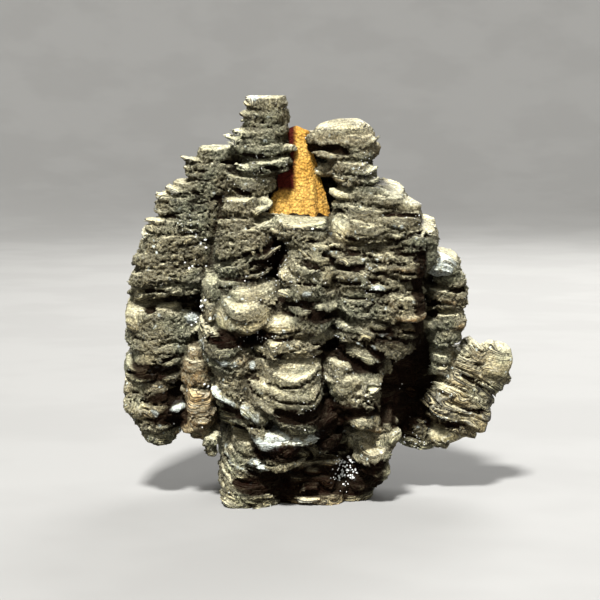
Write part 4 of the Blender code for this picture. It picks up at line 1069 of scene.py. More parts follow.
def lens_between(ends, thick, deep, out, droop, lift=0.0, more=0.0, pillow=HOLLOW_PILLOW, sag=SAG):
    """Corners, frame and form of a lens whose middle line runs between two pixels."""
    left_x, left_y, right_x, right_y = ends
    middle = seen_at((left_x + right_x) / 2, (left_y + right_y) / 2)
    if middle is None:
        return None
    left = seen_at(left_x, left_y, middle[1])
    right = seen_at(right_x, right_y, middle[1])
    length = np.linalg.norm(right - left)
    along = (right - left) / length
    outward = np.cross(along, (0.0, 0.0, 1.0)) if abs(along[2]) < STEEP else np.array([0.0, -1.0, 0.0])
    outward -= along * (outward @ along)
    outward /= np.linalg.norm(outward)
    upward = np.cross(outward, along)
    centre = (left + right + middle) / 3 + outward * (out - deep) + upward * lift
    half_length = length / 2 + END_REACH
    flat = scale_form((0.0, 0.0, 0.0), 0.0, (deep, half_length, thick / 2), droop, pillow, sag)

    def form(x, y, z):
        depth, height = flat(x, y, z)
        return depth + more, height
    bent = abs(droop) * deep + abs(sag) * length / 2
    half = np.array([deep, half_length, thick / 2 + bent]) + LENS_SPARE
    return -half, half, (np.array([outward, along, upward]), centre), form


def in_the_stone(low, high, space, form):
    """The same form as a function of the specimen's own x, y and z, with its box."""
    turn, origin = space
    corners = np.array(list(itertools.product(*zip(low, high)))) @ turn + origin

    def whole(x, y, z):
        place = (x - origin[0], y - origin[1], z - origin[2])
        return form(*(sum(row[axis] * place[axis] for axis in range(3)) for row in turn))
    return corners.min(0), corners.max(0), whole


# %% Lay the lips, with the gaps under them
LIP_DEEP = 2.6         # half depth of a lip, in millimetres
GAP_DEEP = 2.4         # how far the gap under a lip reaches back into the stone
GAP_OUT = 0.8          # how far it reaches out past the lip
LIP_DROOP = 0.25
RAGGED = 0.4           # how far the edge of a hollow strays, as a share of its height
# the rows, the pitch and strength of their plates, how silvery and how warm, the pillow and the sag
LOOKS = (
    (LAMINATED, 1.3, 0.8, 0.0, 0.0, 2.4, SAG),
    (GRANULAR, 1.5, 0.3, 0.0, 0.1, 2.7, SAG),
    (BLOCKS, 1.2, 0.5, 0.0, 0.15, 2.6, -0.05),
    (BROAD, 1.7, 0.2, 0.0, 0.05, 3.0, SAG),
    (BROWN, 1.5, 0.35, 0.0, 0.75, 2.6, SAG),
    (SILVERY, 1.3, 0.6, 1.0, 0.0, 2.4, 0.0),
)
hollows = []
laid = []
dice = random.Random(9041)
for rows, pitch, strength, silver, warm, pillow, sag in LOOKS:
    for *ends, thick, gap, out in rows:
        tone, start = dice.uniform(-1, 1), dice.uniform(0, 1)
        lens_here = lens_between(ends, thick * PIXEL, LIP_DEEP + thick * PIXEL / 4, out, LIP_DROOP,
                                 more=SWELL, pillow=pillow, sag=sag)
        if lens_here is None:
            print("no stone at", ends)
            continue
        laid.append((*lens_here, (pitch, start, tone, strength, silver, warm)))
        if gap > 0:
            gap_here = lens_between(ends, gap * PIXEL, (out + GAP_DEEP + GAP_OUT) / 2, out + GAP_OUT, 0.0,
                                    -(thick + gap) * PIXEL / 2, sag=sag)
            hollows.append((*in_the_stone(*gap_here), RAGGED * gap * PIXEL))
print("lips", len(laid), "gaps", len(hollows))

# %% Cut the hollows and undercuts
HOLLOW_OUT = 1.6       # how far a hollow's lens reaches out of the stone
MOST_RAGGED = 0.8
steps = [(*start, *end, tall, deep) for curve, tall, deep in UNDERCUTS
         for start, end in zip(curve, curve[1:])]
for *ends, tall, deep in HOLLOWS + steps:
    hollow_here = lens_between(ends, tall * PIXEL, deep / 2 + 1, HOLLOW_OUT, 0.0, sag=0.0)
    if hollow_here is None:
        print("no stone at", ends)
        continue
    hollows.append((*in_the_stone(*hollow_here), min(RAGGED * tall * PIXEL, MOST_RAGGED)))
for low, high, space, form, plates in laid:
    store(low, high, space, form, plates)
print("hollows", len(hollows))

# %% [markdown]
# Now the coarse block is made again with the lips, and blurred. How open a place is
# follows from both blurs: the small one finds the gaps under the lips, and the large one
# the recesses between the lobes.

# %% Blur the coarse block again, with the lips
CLOSE_BY_SHARE, WIDELY_SHARE = 0.55, 0.45
OPEN_AT_MOST = 1.15
stone = coarse_stone()
CLOSE_BY = box_blur(box_blur(stone, 1), 1)
WIDELY = box_blur(box_blur(stone, 4), 3)


def openness(points):
    """How open places are: under 0.5 in a cleft, and near 1 on a rim."""
    close_by, widely = (read_block(block, LOW, COARSE, points) for block in (CLOSE_BY, WIDELY))
    return OPEN_AT_MOST - CLOSE_BY_SHARE * close_by - WIDELY_SHARE * widely


middle = seen_at(PHOTO_WIDTH / 2, PHOTO_WIDTH / 2)
print("openness at the photograph's middle", openness(middle[None])[0].round(2))

# %% [markdown]
# Between the lobes there are caves that no eye and no light can reach. They would cost as
# many faces as the outside, so they are filled: air is let in from the edge of the block,
# through gaps wide enough, and whatever it doesn't come near to is taken as solid.

# %% Let air in from outside
GAP_CELLS = 0.72       # share of air round a cell that lets air pass
NEAR_AIR = 2           # cells that count as near to the air


def grown_by_one(cells):
    """Cells and their neighbours along the axes."""
    wider = cells.copy()
    for axis in range(3):
        ahead = [slice(None)] * 3
        behind = [slice(None)] * 3
        ahead[axis], behind[axis] = slice(1, None), slice(None, -1)
        wider[tuple(ahead)] |= cells[tuple(behind)]
        wider[tuple(behind)] |= cells[tuple(ahead)]
    return wider


passable = box_blur(1 - stone, 1) > GAP_CELLS
air = passable.copy()
air[1:-1, 1:-1, 1:-1] = False
reached = 0
while air.sum() > reached:
    reached = air.sum()
    air = grown_by_one(air) & passable
for _ in range(NEAR_AIR):
    air = grown_by_one(air)
NEAR_OUTSIDE = box_blur(air.astype(np.float32), 1)
print("share near the outside", round(float(air.mean()), 3))


def stretched(block, low, step, axes):
    """A coarse block read at the cells of a finer one, axis by axis."""
    for axis in range(3):
        place = np.clip((axes[axis] - low[axis]) / step, 0, block.shape[0] - 1.001)
        cell = np.floor(place).astype(int)
        share = (place - cell).astype(np.float32)
        weights = np.zeros((len(place), block.shape[0]), np.float32)
        weights[np.arange(len(place)), cell] = 1 - share
        weights[np.arange(len(place)), cell + 1] = share
        block = np.tensordot(block, weights, (0, 1))
    return block


# %% [markdown]
# ## From field to mesh
# The block is meshed with OpenVDB, which lays quads where the field crosses zero. One mesh
# would be too heavy to handle, so the specimen is grown in regions, each of them a closed
# mesh. Neighbours lap over each other a little and have the same surface there, so their
# border doesn't show. The front regions, which are seen closest, have finer cells.

# %% Regions and their borders
FINE = 0.4
MEDIUM = 0.52
FRONT_BACK = 10.5      # depth of the border between the front regions and the back
LEFT_MIDDLE = -23.5
MIDDLE_RIGHT = 4.8
BACK_MIDDLE = -4.0
BASE_TOP = 22.0
MIDDLE_TOP = 52.0
RIGHT_TOP = 55.0
LAP = 0.4
FAR = 199.0            # no border on this side
REGIONS = {
    "calcite_left": ((-FAR, -FAR, BASE_TOP), (LEFT_MIDDLE, FRONT_BACK, FAR), FINE),
    "calcite_middle_top": ((LEFT_MIDDLE, -FAR, MIDDLE_TOP), (MIDDLE_RIGHT, FRONT_BACK, FAR), FINE),
    "calcite_middle": ((LEFT_MIDDLE, -FAR, BASE_TOP), (MIDDLE_RIGHT, FRONT_BACK, MIDDLE_TOP), FINE),
    "calcite_right_top": ((MIDDLE_RIGHT, -FAR, RIGHT_TOP), (FAR, FRONT_BACK, FAR), FINE),
    "calcite_right": ((MIDDLE_RIGHT, -FAR, BASE_TOP), (FAR, FRONT_BACK, RIGHT_TOP), FINE),
    "calcite_base": ((-FAR, -FAR, -FAR), (FAR, FRONT_BACK, BASE_TOP), FINE),
    "calcite_back_left": ((-FAR, FRONT_BACK, -FAR), (BACK_MIDDLE, FAR, FAR), MEDIUM),
    "calcite_back_right": ((BACK_MIDDLE, FRONT_BACK, -FAR), (FAR, FAR, FAR), MEDIUM),
}


def border(x, y, z, low, high):
    """How far a place lies inside a region, which laps a little over its neighbours."""
    depth = np.float32(FAR)
    for axis, place in enumerate((x, y, z)):
        if abs(low[axis]) < FAR:
            depth = np.minimum(depth, place - low[axis] + LAP)
        if abs(high[axis]) < FAR:
            depth = np.minimum(depth, high[axis] + LAP - place)
    return depth


print("regions", len(REGIONS))

# %% The skin of a field
EASE = 0.1             # how readily nearly flat faces are merged, from 0 to 1


def skin(solid, low, step):
    """Points and faces where a field crosses zero. A triangle repeats its last corner."""
    field = openvdb.FloatGrid(-1.0)
    field.copyFromArray(np.clip(solid, -1, 1).astype(np.float32))
    points, triangles, quads = field.convertToPolygons(0.0, EASE)
    faces = np.concatenate([quads[:, ::-1], triangles[:, [2, 1, 0, 0]]]).astype(np.int64)
    return largest_body(points * step + low, faces)


def largest_body(points, faces):
    """Drop crumbs that hang in the air and hollows that nobody can see."""
    label = np.arange(len(points))
    while True:
        lowest = label[faces].min(axis=1)
        new = label.copy()
        for corner in range(4):
            np.minimum.at(new, faces[:, corner], lowest)
        new = new[new]
        if np.array_equal(new, label):
            break
        label = new
    names, sizes = np.unique(label, return_counts=True)
    kept = label == names[np.argmax(sizes)]
    number = np.cumsum(kept) - 1
    return points[kept], number[faces[kept[faces[:, 0]]]]


def triangle_count(faces):
    """How many triangles the faces come to."""
    return 2 * len(faces) - int((faces[:, 2] == faces[:, 3]).sum())


# %% [markdown]
# Plates that lie dead level look sawn. The finished block is therefore read a little
# higher or lower from place to place, which bends all the layers in long shallow waves.

# %% Bend the layers
WAVES = ((12.0, 8.0, 0.8, 61), (4.6, 3.6, 0.33, 62))     # width, height, size and seed of the waves


def bend_layers(blocks, axes, step):
    """The same blocks, read higher or lower by the waves."""
    x, y, z = np.ix_(*axes)
    lift = sum(size * value_noise(x / wide, y / wide, z / tall, seed) for wide, tall, size, seed in WAVES)
    place = np.clip(np.arange(len(axes[2])) + lift / step, 0, len(axes[2]) - 1.001)
    below = place.astype(np.int32)
    share = (place - below).astype(np.float32)
    return [np.take_along_axis(block, below, 2) * (1 - share)
            + np.take_along_axis(block, below + 1, 2) * share for block in blocks]


# %% Carve the hollows
RAGGED_ACROSS, RAGGED_UP = 2.4, 0.9     # size of the bays in a hollow's edge, in millimetres
PAINTED_SHADE_ROUND = 0.7    # how far round a hollow the painted shade reaches


def carve(solid, axes, start, step):
    """Cut the hollows out of a block, and say how much each cell belongs to one."""
    x, y, z = np.ix_(*axes)
    carved = np.zeros(solid.shape, np.float32)
    ragged = value_noise(x / RAGGED_ACROSS, y / RAGGED_ACROSS, z / RAGGED_UP, 71)
    for first, last, hollow, strays in hollows:
        begin = np.clip(np.floor((first - start) / step).astype(int), 0, solid.shape)
        end = np.clip(np.ceil((last - start) / step).astype(int), 0, solid.shape)
        if np.all(end > begin):
            where = tuple(slice(a, b) for a, b in zip(begin, end))
            near = np.ix_(*(axis[cells] for axis, cells in zip(axes, where)))
            inside = hollow(*near)[0] + strays * ragged[where]
            solid[where] = np.minimum(solid[where], -inside)
            # how much a cell belongs to a hollow, which the finish fills with painted shade
            carved[where] = np.maximum(carved[where], np.clip(PAINTED_SHADE_ROUND + inside, 0, 1))
    return carved


# %% [markdown]
# A region is grown in the order in which the stone got its shape: ledges, scales and lips,
# then hollows, waves and laminae. Level tops get no laminae, because a lamina's groove
# would cut rings into them. At the end the block is trimmed to the pocket, to the solid
# model's box, to the flat cut and to the region.

# %% Grow one region
STONE_BOX = np.array(cad_box) / MM + np.array([[0.1, 0.1, 0.0], [-0.1, -0.1, -0.1]])
STONE_BOX[:, 2] += CUT_HEIGHT
BAND = 2.4             # laminae matter only this near to the surface
LEVEL_FROM = 0.6       # rise of the field with height from which a face counts as level
CAVE_FILL = 6          # how firmly the caves are filled
SPARE = 3              # millimetres of block round a region


def add_laminae(solid, axes, step, level, strength):
    """Lay the laminae on the faces of a block that aren't level."""
    near = np.nonzero(np.abs(solid) < BAND)
    x, y, z = (axis[cells] for axis, cells in zip(axes, near))
    steep = np.abs(np.gradient(solid, step, axis=2)[near])
    level_face = np.clip((steep - LEVEL_FROM) / (1 - LEVEL_FROM), 0, 1)
    added, _, _ = laminate(x, y, z, level[near], strength[near] * (1 - level_face))
    solid[near] += added


def grow(low, high, step):
    """Points in millimetres, faces, and what the laminae are like at each point."""
    start = np.maximum(np.array(low) - SPARE, LOW)
    count = np.ceil((np.minimum(np.array(high) + SPARE, HIGH) - start) / step).astype(int)
    axes, solid, values = heap_up(start, step, count)
    carved = carve(solid, axes, start, step)
    solid, carved, *values = bend_layers([solid, carved, *values], axes, step)
    add_laminae(solid, axes, step, values[0], values[2])
    grid = np.ix_(*axes)
    if high[2] > CRYSTAL_FOOT_HEIGHT:
        solid = np.minimum(solid, -(spire_depth(*grid) + POCKET_GAP))
    solid = np.maximum(solid, CAVE_FILL * (0.5 - stretched(NEAR_OUTSIDE, LOW, COARSE, axes)))
    for axis in range(3):
        solid = np.minimum(solid, grid[axis] - STONE_BOX[0][axis])
        solid = np.minimum(solid, STONE_BOX[1][axis] - grid[axis])
    solid = np.minimum(solid, grid[2] - CUT_HEIGHT)
    solid = np.minimum(solid, border(*grid, low, high))
    points, faces = skin(solid, start, step)
    return points, faces, [read_block(block, start, step, points) for block in (*values, carved)]


# %% [markdown]
# ## Turning numbers into a mesh object
# Blender's from_pydata is slow for half a million points, so the arrays go straight into
# the mesh with foreach_set. What the finish has to know, such as how open a place is, goes
# along as a point attribute, which the material reads.

# %% Mesh objects
def mesh_object(name, points, faces, known=None):
    """An object from points in millimetres, faces of four corners and point attributes."""
    used = np.ones(faces.shape, bool)
    used[:, 3] = faces[:, 2] != faces[:, 3]
    starts = np.concatenate([[0], np.cumsum(used.sum(axis=1))[:-1]])
    mesh = bpy.data.meshes.new(name)
    mesh.vertices.add(len(points))
    standing = points - np.array([0.0, 0.0, CUT_HEIGHT])
    mesh.vertices.foreach_set("co", (standing * MM).astype(np.float32).ravel())
    mesh.loops.add(int(used.sum()))
    mesh.loops.foreach_set("vertex_index", faces[used].astype(np.int32))
    mesh.polygons.add(len(faces))
    mesh.polygons.foreach_set("loop_start", starts.astype(np.int32))
    for attribute, values in (known or {}).items():
        kept = mesh.attributes.new(attribute, "FLOAT", "POINT")
        kept.data.foreach_set("value", np.asarray(values, np.float32))
    mesh.update(calc_edges=True)
    thing = bpy.data.objects.new(name, mesh)
    bpy.context.scene.collection.objects.link(thing)
    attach(thing, "root")
    return thing


def face_normals(points, faces):
    """The middles and unit normals of faces."""
    a, b, c, d = (points[faces[:, corner]] for corner in range(4))
    normals = np.cross(c - a, d - b)
    size = np.linalg.norm(normals, axis=1, keepdims=True)
    return (a + b + c + d) / 4, normals / np.maximum(size, 1e-9)


# %% [markdown]
# ## The finish of the calcite
# The stone is olive-brown with sandy rims and grey-green tops: the rims carry a painted highlight,
# and the tops are paler with dust and with painted light from above. Its clefts get painted shade
# in a dark red-brown like a stain, and a few silvery places and single sparks get a painted highlight.
# One material does all of it: the attributes say where a rim, a cleft or a silvery place is,
# and noise breaks each of them up. Small crystals give it a grain like coarse sugar.

# %% A helper for node materials
class Nodes:
    """Adds nodes to a new material and joins them. A value is a number or another node's output."""

    def __init__(self, name):
        self.material = bpy.data.materials.new(name)
        self.material.use_nodes = True
        self.tree = self.material.node_tree
        self.shader = self.tree.nodes["Principled BSDF"]

    def add(self, kind, **settings):
        node = self.tree.nodes.new("ShaderNode" + kind)
        for name, value in settings.items():
            if hasattr(node, name):
                setattr(node, name, value)
            else:
                node.inputs[name.replace("_", " ").title()].default_value = value
        return node

    def join(self, source, target):
        self.tree.links.new(source, target)

    def finish(self, **values):
        """Set or join inputs of the shader, and give the material."""
        for name, value in values.items():
            self.give(self.shader.inputs[SHADER_INPUTS[name]], value)
        return self.material

    def give(self, socket, value):
        """Put a number, a colour or another node's output into an input."""
        if isinstance(value, (int, float)):
            socket.default_value = value
        elif isinstance(value, tuple):
            socket.default_value = (*value, 1.0)
        else:
            self.join(value, socket)

    def attribute(self, name):
        return self.add("Attribute", attribute_name=name).outputs["Fac"]

    def place(self):
        return self.add("TexCoord").outputs["Object"]

    def facing_up(self):
        """1 on a face that looks up, 0 on an upright one and -1 on one that looks down."""
        parts = self.add("SeparateXYZ")
        self.join(self.add("NewGeometry").outputs["Normal"], parts.inputs[0])
        return parts.outputs["Z"]

    def noise(self, per_metre, detail=3.0, roughness=0.55, stretch=(1, 1, 1)):
        mapping = self.add("Mapping")
        mapping.inputs["Scale"].default_value = stretch
        self.join(self.place(), mapping.inputs["Vector"])
        noise = self.add("TexNoise", Scale=per_metre, Detail=detail, Roughness=roughness)
        self.join(mapping.outputs["Vector"], noise.inputs["Vector"])
        return noise.outputs["Fac"]

    def sheets(self, number, per_metre, detail=2.0):
        """Noise that is another one for each number."""
        noise = self.add("TexNoise", noise_dimensions="4D", Scale=per_metre, Detail=detail)
        self.join(self.place(), noise.inputs["Vector"])
        self.join(number, noise.inputs["W"])
        return noise.outputs["Fac"]

    def streaks(self, level, per_metre, per_lamina, detail=3.0):
        """Noise drawn out along the laminae, because it takes its height from their level."""
        parts, drawn_out = self.add("SeparateXYZ"), self.add("CombineXYZ")
        self.join(self.place(), parts.inputs[0])
        self.join(parts.outputs["X"], drawn_out.inputs["X"])
        self.join(parts.outputs["Y"], drawn_out.inputs["Y"])
        self.join(self.times(level, per_lamina / per_metre), drawn_out.inputs["Z"])
        noise = self.add("TexNoise", Scale=per_metre, Detail=detail)
        self.join(drawn_out.outputs[0], noise.inputs["Vector"])
        return noise.outputs["Fac"]

    def cells(self, per_metre, feature="F1", output="Distance"):
        cells = self.add("TexVoronoi", feature=feature, Scale=per_metre)
        self.join(self.place(), cells.inputs["Vector"])
        return cells.outputs[output]

    def math(self, operation, a, b=0.0, clamp=False):
        node = self.add("Math", operation=operation, use_clamp=clamp)
        for socket, value in zip(node.inputs, (a, b)):
            self.give(socket, value)
        return node.outputs[0]

    def plus(self, a, b):
        return self.math("ADD", a, b)

    def minus(self, a, b):
        return self.math("SUBTRACT", a, b)

    def times(self, a, b):
        return self.math("MULTIPLY", a, b)

    def most(self, a, b):
        return self.math("MAXIMUM", a, b)

    def spread(self, value, low, high, to_low=0.0, to_high=1.0):
        """A value drawn from one range to another, softly at both ends."""
        node = self.add("MapRange", interpolation_type="SMOOTHSTEP", From_Min=low, From_Max=high,
                        To_Min=to_low, To_Max=to_high)
        self.join(value, node.inputs["Value"])
        return node.outputs["Result"]

    def mix(self, share, a, b, blend="MIX"):
        """Colour b over colour a. The inputs are taken by number, as several share a name."""
        node = self.add("Mix", data_type="RGBA", blend_type=blend)
        for number, value in ((0, share), (6, a), (7, b)):
            self.give(node.inputs[number], value)
        return node.outputs[2]

    def number_mix(self, share, a, b):
        return self.plus(a, self.times(share, self.minus(b, a)))

    def bump(self, height, distance, strength=1.0, under=None):
        node = self.add("Bump", Strength=strength, Distance=distance)
        self.join(height, node.inputs["Height"])
        if under is not None:
            self.join(under, node.inputs["Normal"])
        return node.outputs["Normal"]


SHADER_INPUTS = {
    "body": "Base Color", "dull": "Roughness", "relief": "Normal", "refraction": "IOR",
    "gloss": "Specular IOR Level", "gloss_tint": "Specular Tint", "clear": "Transmission Weight",
}


def colour(red, green, blue):
    """A colour as seen on a screen, from 0 to 255, as the light values a shader wants."""
    def light(value):
        value = value / 255
        return value / 12.92 if value <= 0.04045 else ((value + 0.055) / 1.055) ** 2.4
    return tuple(light(value) for value in (red, green, blue))


# %% [markdown]
# The finish is built up in parts. First come the patterns that all the rest is made from:
# what the mesh knows, noise in three sizes, small crystals, which way a face looks, and
# the laminae. Those of the mesh are a millimetre or two thick. The finish splits them into
# finer ones, each sheet with a tone of its own, and adds streaks that run along them.

# %% The patterns in the calcite
ALONG_LAMINAE = 0.55   # how fast a lamina's tone changes along it
FINE_LAMINAE = 2.0     # fine laminae in one lamina of the mesh, and finest ones below
FINEST_LAMINAE = 3.7


def lamina_pattern(nodes, level, count, waver, per_metre):
    """(noise that changes from one lamina to the next, 0 in a crease and 1 on a rim above it)."""
    bent = nodes.plus(nodes.times(level, count), nodes.times(nodes.noise(per_metre, detail=2), waver))
    part = nodes.math("FRACT", bent)
    foot = nodes.spread(part, 0.04, 0.3)
    sheet = nodes.sheets(nodes.math("FLOOR", bent), per_metre * ALONG_LAMINAE)
    return sheet, nodes.times(foot, nodes.spread(part, 0.3, 1.0, 1.0, 0.45))


class Patterns:
    """What the colours, the painted light and shade and the relief of the calcite are made from."""

    def __init__(self, nodes):
        self.opened, self.level, self.rim = (nodes.attribute(name) for name in ("open", "level", "rim"))
        self.silvery, self.tone, self.warm = (nodes.attribute(name) for name in ("silver", "tone", "warm"))
        self.hollow = nodes.attribute("hollow")
        self.laminated = nodes.spread(nodes.attribute("laminated"), 0.1, 0.7, 0.25, 1)
        self.patches = nodes.noise(110, detail=4)
        self.fine_patches = nodes.noise(520, detail=5, roughness=0.65)
        self.either_way = nodes.minus(self.fine_patches, 0.5)
        self.grain = nodes.noise(2100, detail=4, roughness=0.75)
        self.crystals = nodes.cells(1700)
        self.speckle = nodes.minus(self.grain, nodes.times(self.crystals, 0.35))
        self.facing = nodes.facing_up()
        self.upward = nodes.spread(self.facing, -0.2, 0.8)
        level_face = nodes.math("ABSOLUTE", self.facing)
        self.sideways = nodes.spread(level_face, 0.7, 0.98, 1, 0)
        self.flank = nodes.times(nodes.spread(level_face, 0.5, 0.9, 1, 0), self.laminated)
        self.sheet, self.fine = lamina_pattern(nodes, self.level, FINE_LAMINAE, 0.6, 170)
        self.thin_sheet, self.finest = lamina_pattern(nodes, self.level, FINEST_LAMINAE, 0.7, 300)
        self.streaks = nodes.streaks(self.level, 300, 4.5)


# %% [markdown]
# The stone's own colour is mixed from patches of olive, sandy and grey-green tones. Rusty
# and dark places lie over them, faces that look up are paler with dust and painted light from above,
# and open rims get a painted highlight. Creases between the laminae get painted shade and the rims
# above them a painted highlight, and the small crystals speckle it.

# %% The stone's colour, with painted light on its tops and rims
WHITE = (1.0, 1.0, 1.0)
CLEFT_STAIN_AND_SHADE = colour(20, 6, 4)
DEEP_STONE = colour(58, 48, 31)
STONE = colour(142, 134, 99)
SANDY = colour(164, 152, 114)
GREEN_GREY = colour(146, 149, 120)
RUSTY = colour(154, 116, 66)
DUST_AND_TOP_LIGHT = colour(183, 177, 147)
PAINTED_RIM_HIGHLIGHT = colour(218, 213, 188)
PAINTED_GLINT = colour(216, 224, 214)


def stone_colour_with_painted_light(nodes, seen):
    """The stone's colour with its dust and painted light, before the painted crease shade, the painted
    highlights and the painted shade.
    """
    body = nodes.mix(nodes.spread(seen.patches, 0.40, 0.60), STONE, SANDY)
    body = nodes.mix(nodes.spread(nodes.noise(70, detail=3), 0.46, 0.62, 0, 0.85), body, GREEN_GREY)
    rusty = nodes.times(seen.warm, nodes.spread(seen.fine_patches, 0.3, 0.6, 0.4, 1))
    body = nodes.mix(rusty, body, RUSTY)
    banded = nodes.plus(seen.sheet, nodes.times(seen.tone, 0.1))
    body = nodes.mix(nodes.spread(banded, 0.5, 0.68, 0, 0.8), body, DEEP_STONE)
    # faces that look up are paler: partly dust, partly painted light from above
    dust_and_top_light = nodes.times(seen.upward, nodes.spread(seen.fine_patches, 0.3, 0.7, 0.3, 0.85))
    body = nodes.mix(dust_and_top_light, body, DUST_AND_TOP_LIGHT)
    # painted highlight on the open rims
    painted_rim_light = nodes.times(nodes.spread(seen.rim, 0.6, 0.9), nodes.spread(seen.opened, 0.5, 0.75))
    painted_rim_light = nodes.times(painted_rim_light, nodes.spread(seen.thin_sheet, 0.45, 0.6, 0, 0.8))
    return nodes.mix(painted_rim_light, body, PAINTED_RIM_HIGHLIGHT)


def crease_shade(nodes, seen):
    """Painted shade in the creases and a painted highlight on the rims just above them, with the crystals'
    speckle: under 1 is darker, over 1 brighter.
    """
    finely = nodes.times(seen.fine, nodes.plus(nodes.times(seen.finest, 0.6), 0.4))
    creases = nodes.times(nodes.minus(1.0, finely), nodes.times(seen.sideways, seen.laminated))
    # painted shade in each crease and a painted highlight on the rim above it
    painted_crease_light = nodes.spread(creases, 0.2, 0.9, 1.3, 0.1)
    painted_crease_light = nodes.times(painted_crease_light, nodes.spread(seen.thin_sheet, 0.35, 0.65, 1.35, 0.6))
    sugar = nodes.spread(seen.speckle, 0.12, 0.46, 0.46, 1.22)
    drawn = nodes.spread(seen.streaks, 0.38, 0.58, 0.35, 1.3)
    drawn = nodes.times(drawn, nodes.spread(seen.speckle, 0.12, 0.46, 0.55, 1.15))
    return nodes.times(painted_crease_light, nodes.number_mix(nodes.times(seen.flank, 0.75), sugar, drawn))


# %% [markdown]
# Over the stone lie the silvery skin and single sparks, each with a painted highlight, and the
# painted shade comes last, in a dark red-brown like a stain. It fills the clefts, the grooves
# between the laminae, the undersides and the hollows, and its edges are ragged.

# %% Painted highlights, painted sparks and painted shade
def painted_silver_share(nodes, seen):
    """Where the silvery skin lies, which gets a painted highlight."""
    streaky = nodes.plus(nodes.times(seen.silvery, 0.55), nodes.times(seen.either_way, 1.6))
    return nodes.times(nodes.spread(streaky, 0.33, 0.55), nodes.spread(seen.thin_sheet, 0.38, 0.5, 0.35, 1))


def painted_spark_share(nodes, seen):
    """Where single crystals get a painted glint."""
    painted_sparks = nodes.spread(nodes.cells(1500, output="Color"), 0.90, 0.93)
    return nodes.times(painted_sparks, nodes.spread(seen.patches, 0.35, 0.6, 0.25, 1))


def stain_and_shade_share(nodes, seen):
    """Where the stone gets painted shade, in the dark red-brown of a stain."""
    shut = nodes.plus(seen.opened, nodes.times(seen.either_way, 0.2))
    # painted shade in the closed places, the clefts
    cleft = nodes.spread(shut, 0.43, 0.69, 1, 0)
    # painted shade in the grooves between the laminae
    groove = nodes.times(nodes.spread(seen.rim, 0.05, 0.35, 0.85, 0), seen.sideways)
    # painted shade on the faces that look down
    under = nodes.spread(seen.facing, -0.6, 0.1, 0.8, 0)
    under = nodes.times(under, nodes.spread(seen.grain, 0.35, 0.6, 1, 0.7))
    # painted shade in and round the carved hollows
    ragged = nodes.plus(seen.hollow, nodes.times(seen.either_way, 1.4))
    return nodes.most(nodes.most(nodes.most(cleft, groove), under), nodes.spread(ragged, 0.4, 0.9))


# %% [markdown]
# The relief is bump, from the coarse steps of the laminae to the grain. The parts are put
# together last. A place with painted shade gets no gloss and a dark-tinted reflection, because
# a cleft that shines looks like wet plastic.

# %% The calcite's material
def relief(nodes, seen):
    """The bump of laminae, crystals and grain."""
    steps = nodes.plus(nodes.times(seen.sheet, 1.4), nodes.times(seen.fine, 0.5))
    steps = nodes.times(steps, nodes.plus(nodes.times(seen.flank, 0.8), 0.2))
    stepped = nodes.bump(steps, 0.0007, 0.8)
    thin_steps = nodes.plus(seen.thin_sheet, nodes.times(seen.finest, 0.6))
    thin_steps = nodes.plus(thin_steps, nodes.times(seen.streaks, 1.5))
    stepped = nodes.bump(nodes.times(thin_steps, seen.flank), 0.0004, 0.9, stepped)
    rougher = nodes.spread(seen.flank, 0.0, 1.0, 1.0, 0.8)
    coarse = nodes.bump(nodes.times(seen.fine_patches, rougher), 0.0008, 0.5, stepped)
    sugary = nodes.bump(nodes.times(seen.crystals, rougher), 0.0004, 0.7, coarse)
    return nodes.bump(nodes.times(seen.grain, rougher), 0.0005, 0.6, sugary)


def calcite_material():
    """The one finish of all the calcite."""
    nodes = Nodes("layered_calcite_finish")
    seen = Patterns(nodes)
    silver, painted_sparks, stain_and_shade = (share(nodes, seen) for share in (painted_silver_share, painted_spark_share, stain_and_shade_share))
    # painted silver-white highlight on the silvery places
    body = nodes.mix(silver, stone_colour_with_painted_light(nodes, seen), PAINTED_GLINT)
    shade = nodes.mix(nodes.times(silver, 0.3), crease_shade(nodes, seen), WHITE)
    body = nodes.mix(1.0, body, shade, "MULTIPLY")
    # painted glints of single crystals
    body = nodes.mix(painted_sparks, body, PAINTED_GLINT)
    # painted shade of the clefts, grooves, undersides and hollows, in a dark red-brown like a stain
    body = nodes.mix(nodes.times(stain_and_shade, 0.96), body, CLEFT_STAIN_AND_SHADE)
    glossy = nodes.times(nodes.most(silver, painted_sparks), -0.2)
    dull = nodes.math("ADD", nodes.spread(seen.grain, 0.3, 0.75, 0.8, 0.5), glossy, clamp=True)
    # the painted shade also darkens the reflection in those places
    tint = nodes.mix(stain_and_shade, WHITE, CLEFT_STAIN_AND_SHADE)
    return nodes.finish(body=body, gloss_tint=tint, dull=nodes.most(dull, stain_and_shade),
                        relief=relief(nodes, seen), refraction=1.5, gloss=0.3)


calcite = calcite_material()
print("calcite nodes", len(calcite.node_tree.nodes))

# %% Grow every region
surfaces = []
for name, (low, high, step) in REGIONS.items():
    points, faces, (level, tone, strength, silver, warm, carved) = grow(low, high, step)
    middles, normals = face_normals(points, faces)
    x, y, z = points.T.astype(np.float32)
    _, level, rim = laminate(x, y, z, level, strength)
    # The open attribute also carries the listed painted shade and painted light, and the hollow attribute
    # says where hollows get painted shade.
    piece = mesh_object(name, points, faces, {
        "open": openness(points) - painted_shade_and_light_at(points),
        "level": level,
        "laminated": strength,
        "rim": rim,
        "tone": tone,
        "silver": silver,
        "warm": warm,
        "hollow": carved,
    })
    piece.data.materials.append(calcite)
    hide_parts("layered_calcite")
    surfaces.append((name, middles, normals))
    print(name, "triangles", triangle_count(faces))


# %% [markdown]
# ## The ochre crystal
# The spire is one crystal with six soft-edged sides. Its skin is matt and sandy, with faint
# upright lines. It is grown as a field like the calcite, because a spire with hard flat
# faces would look cut.

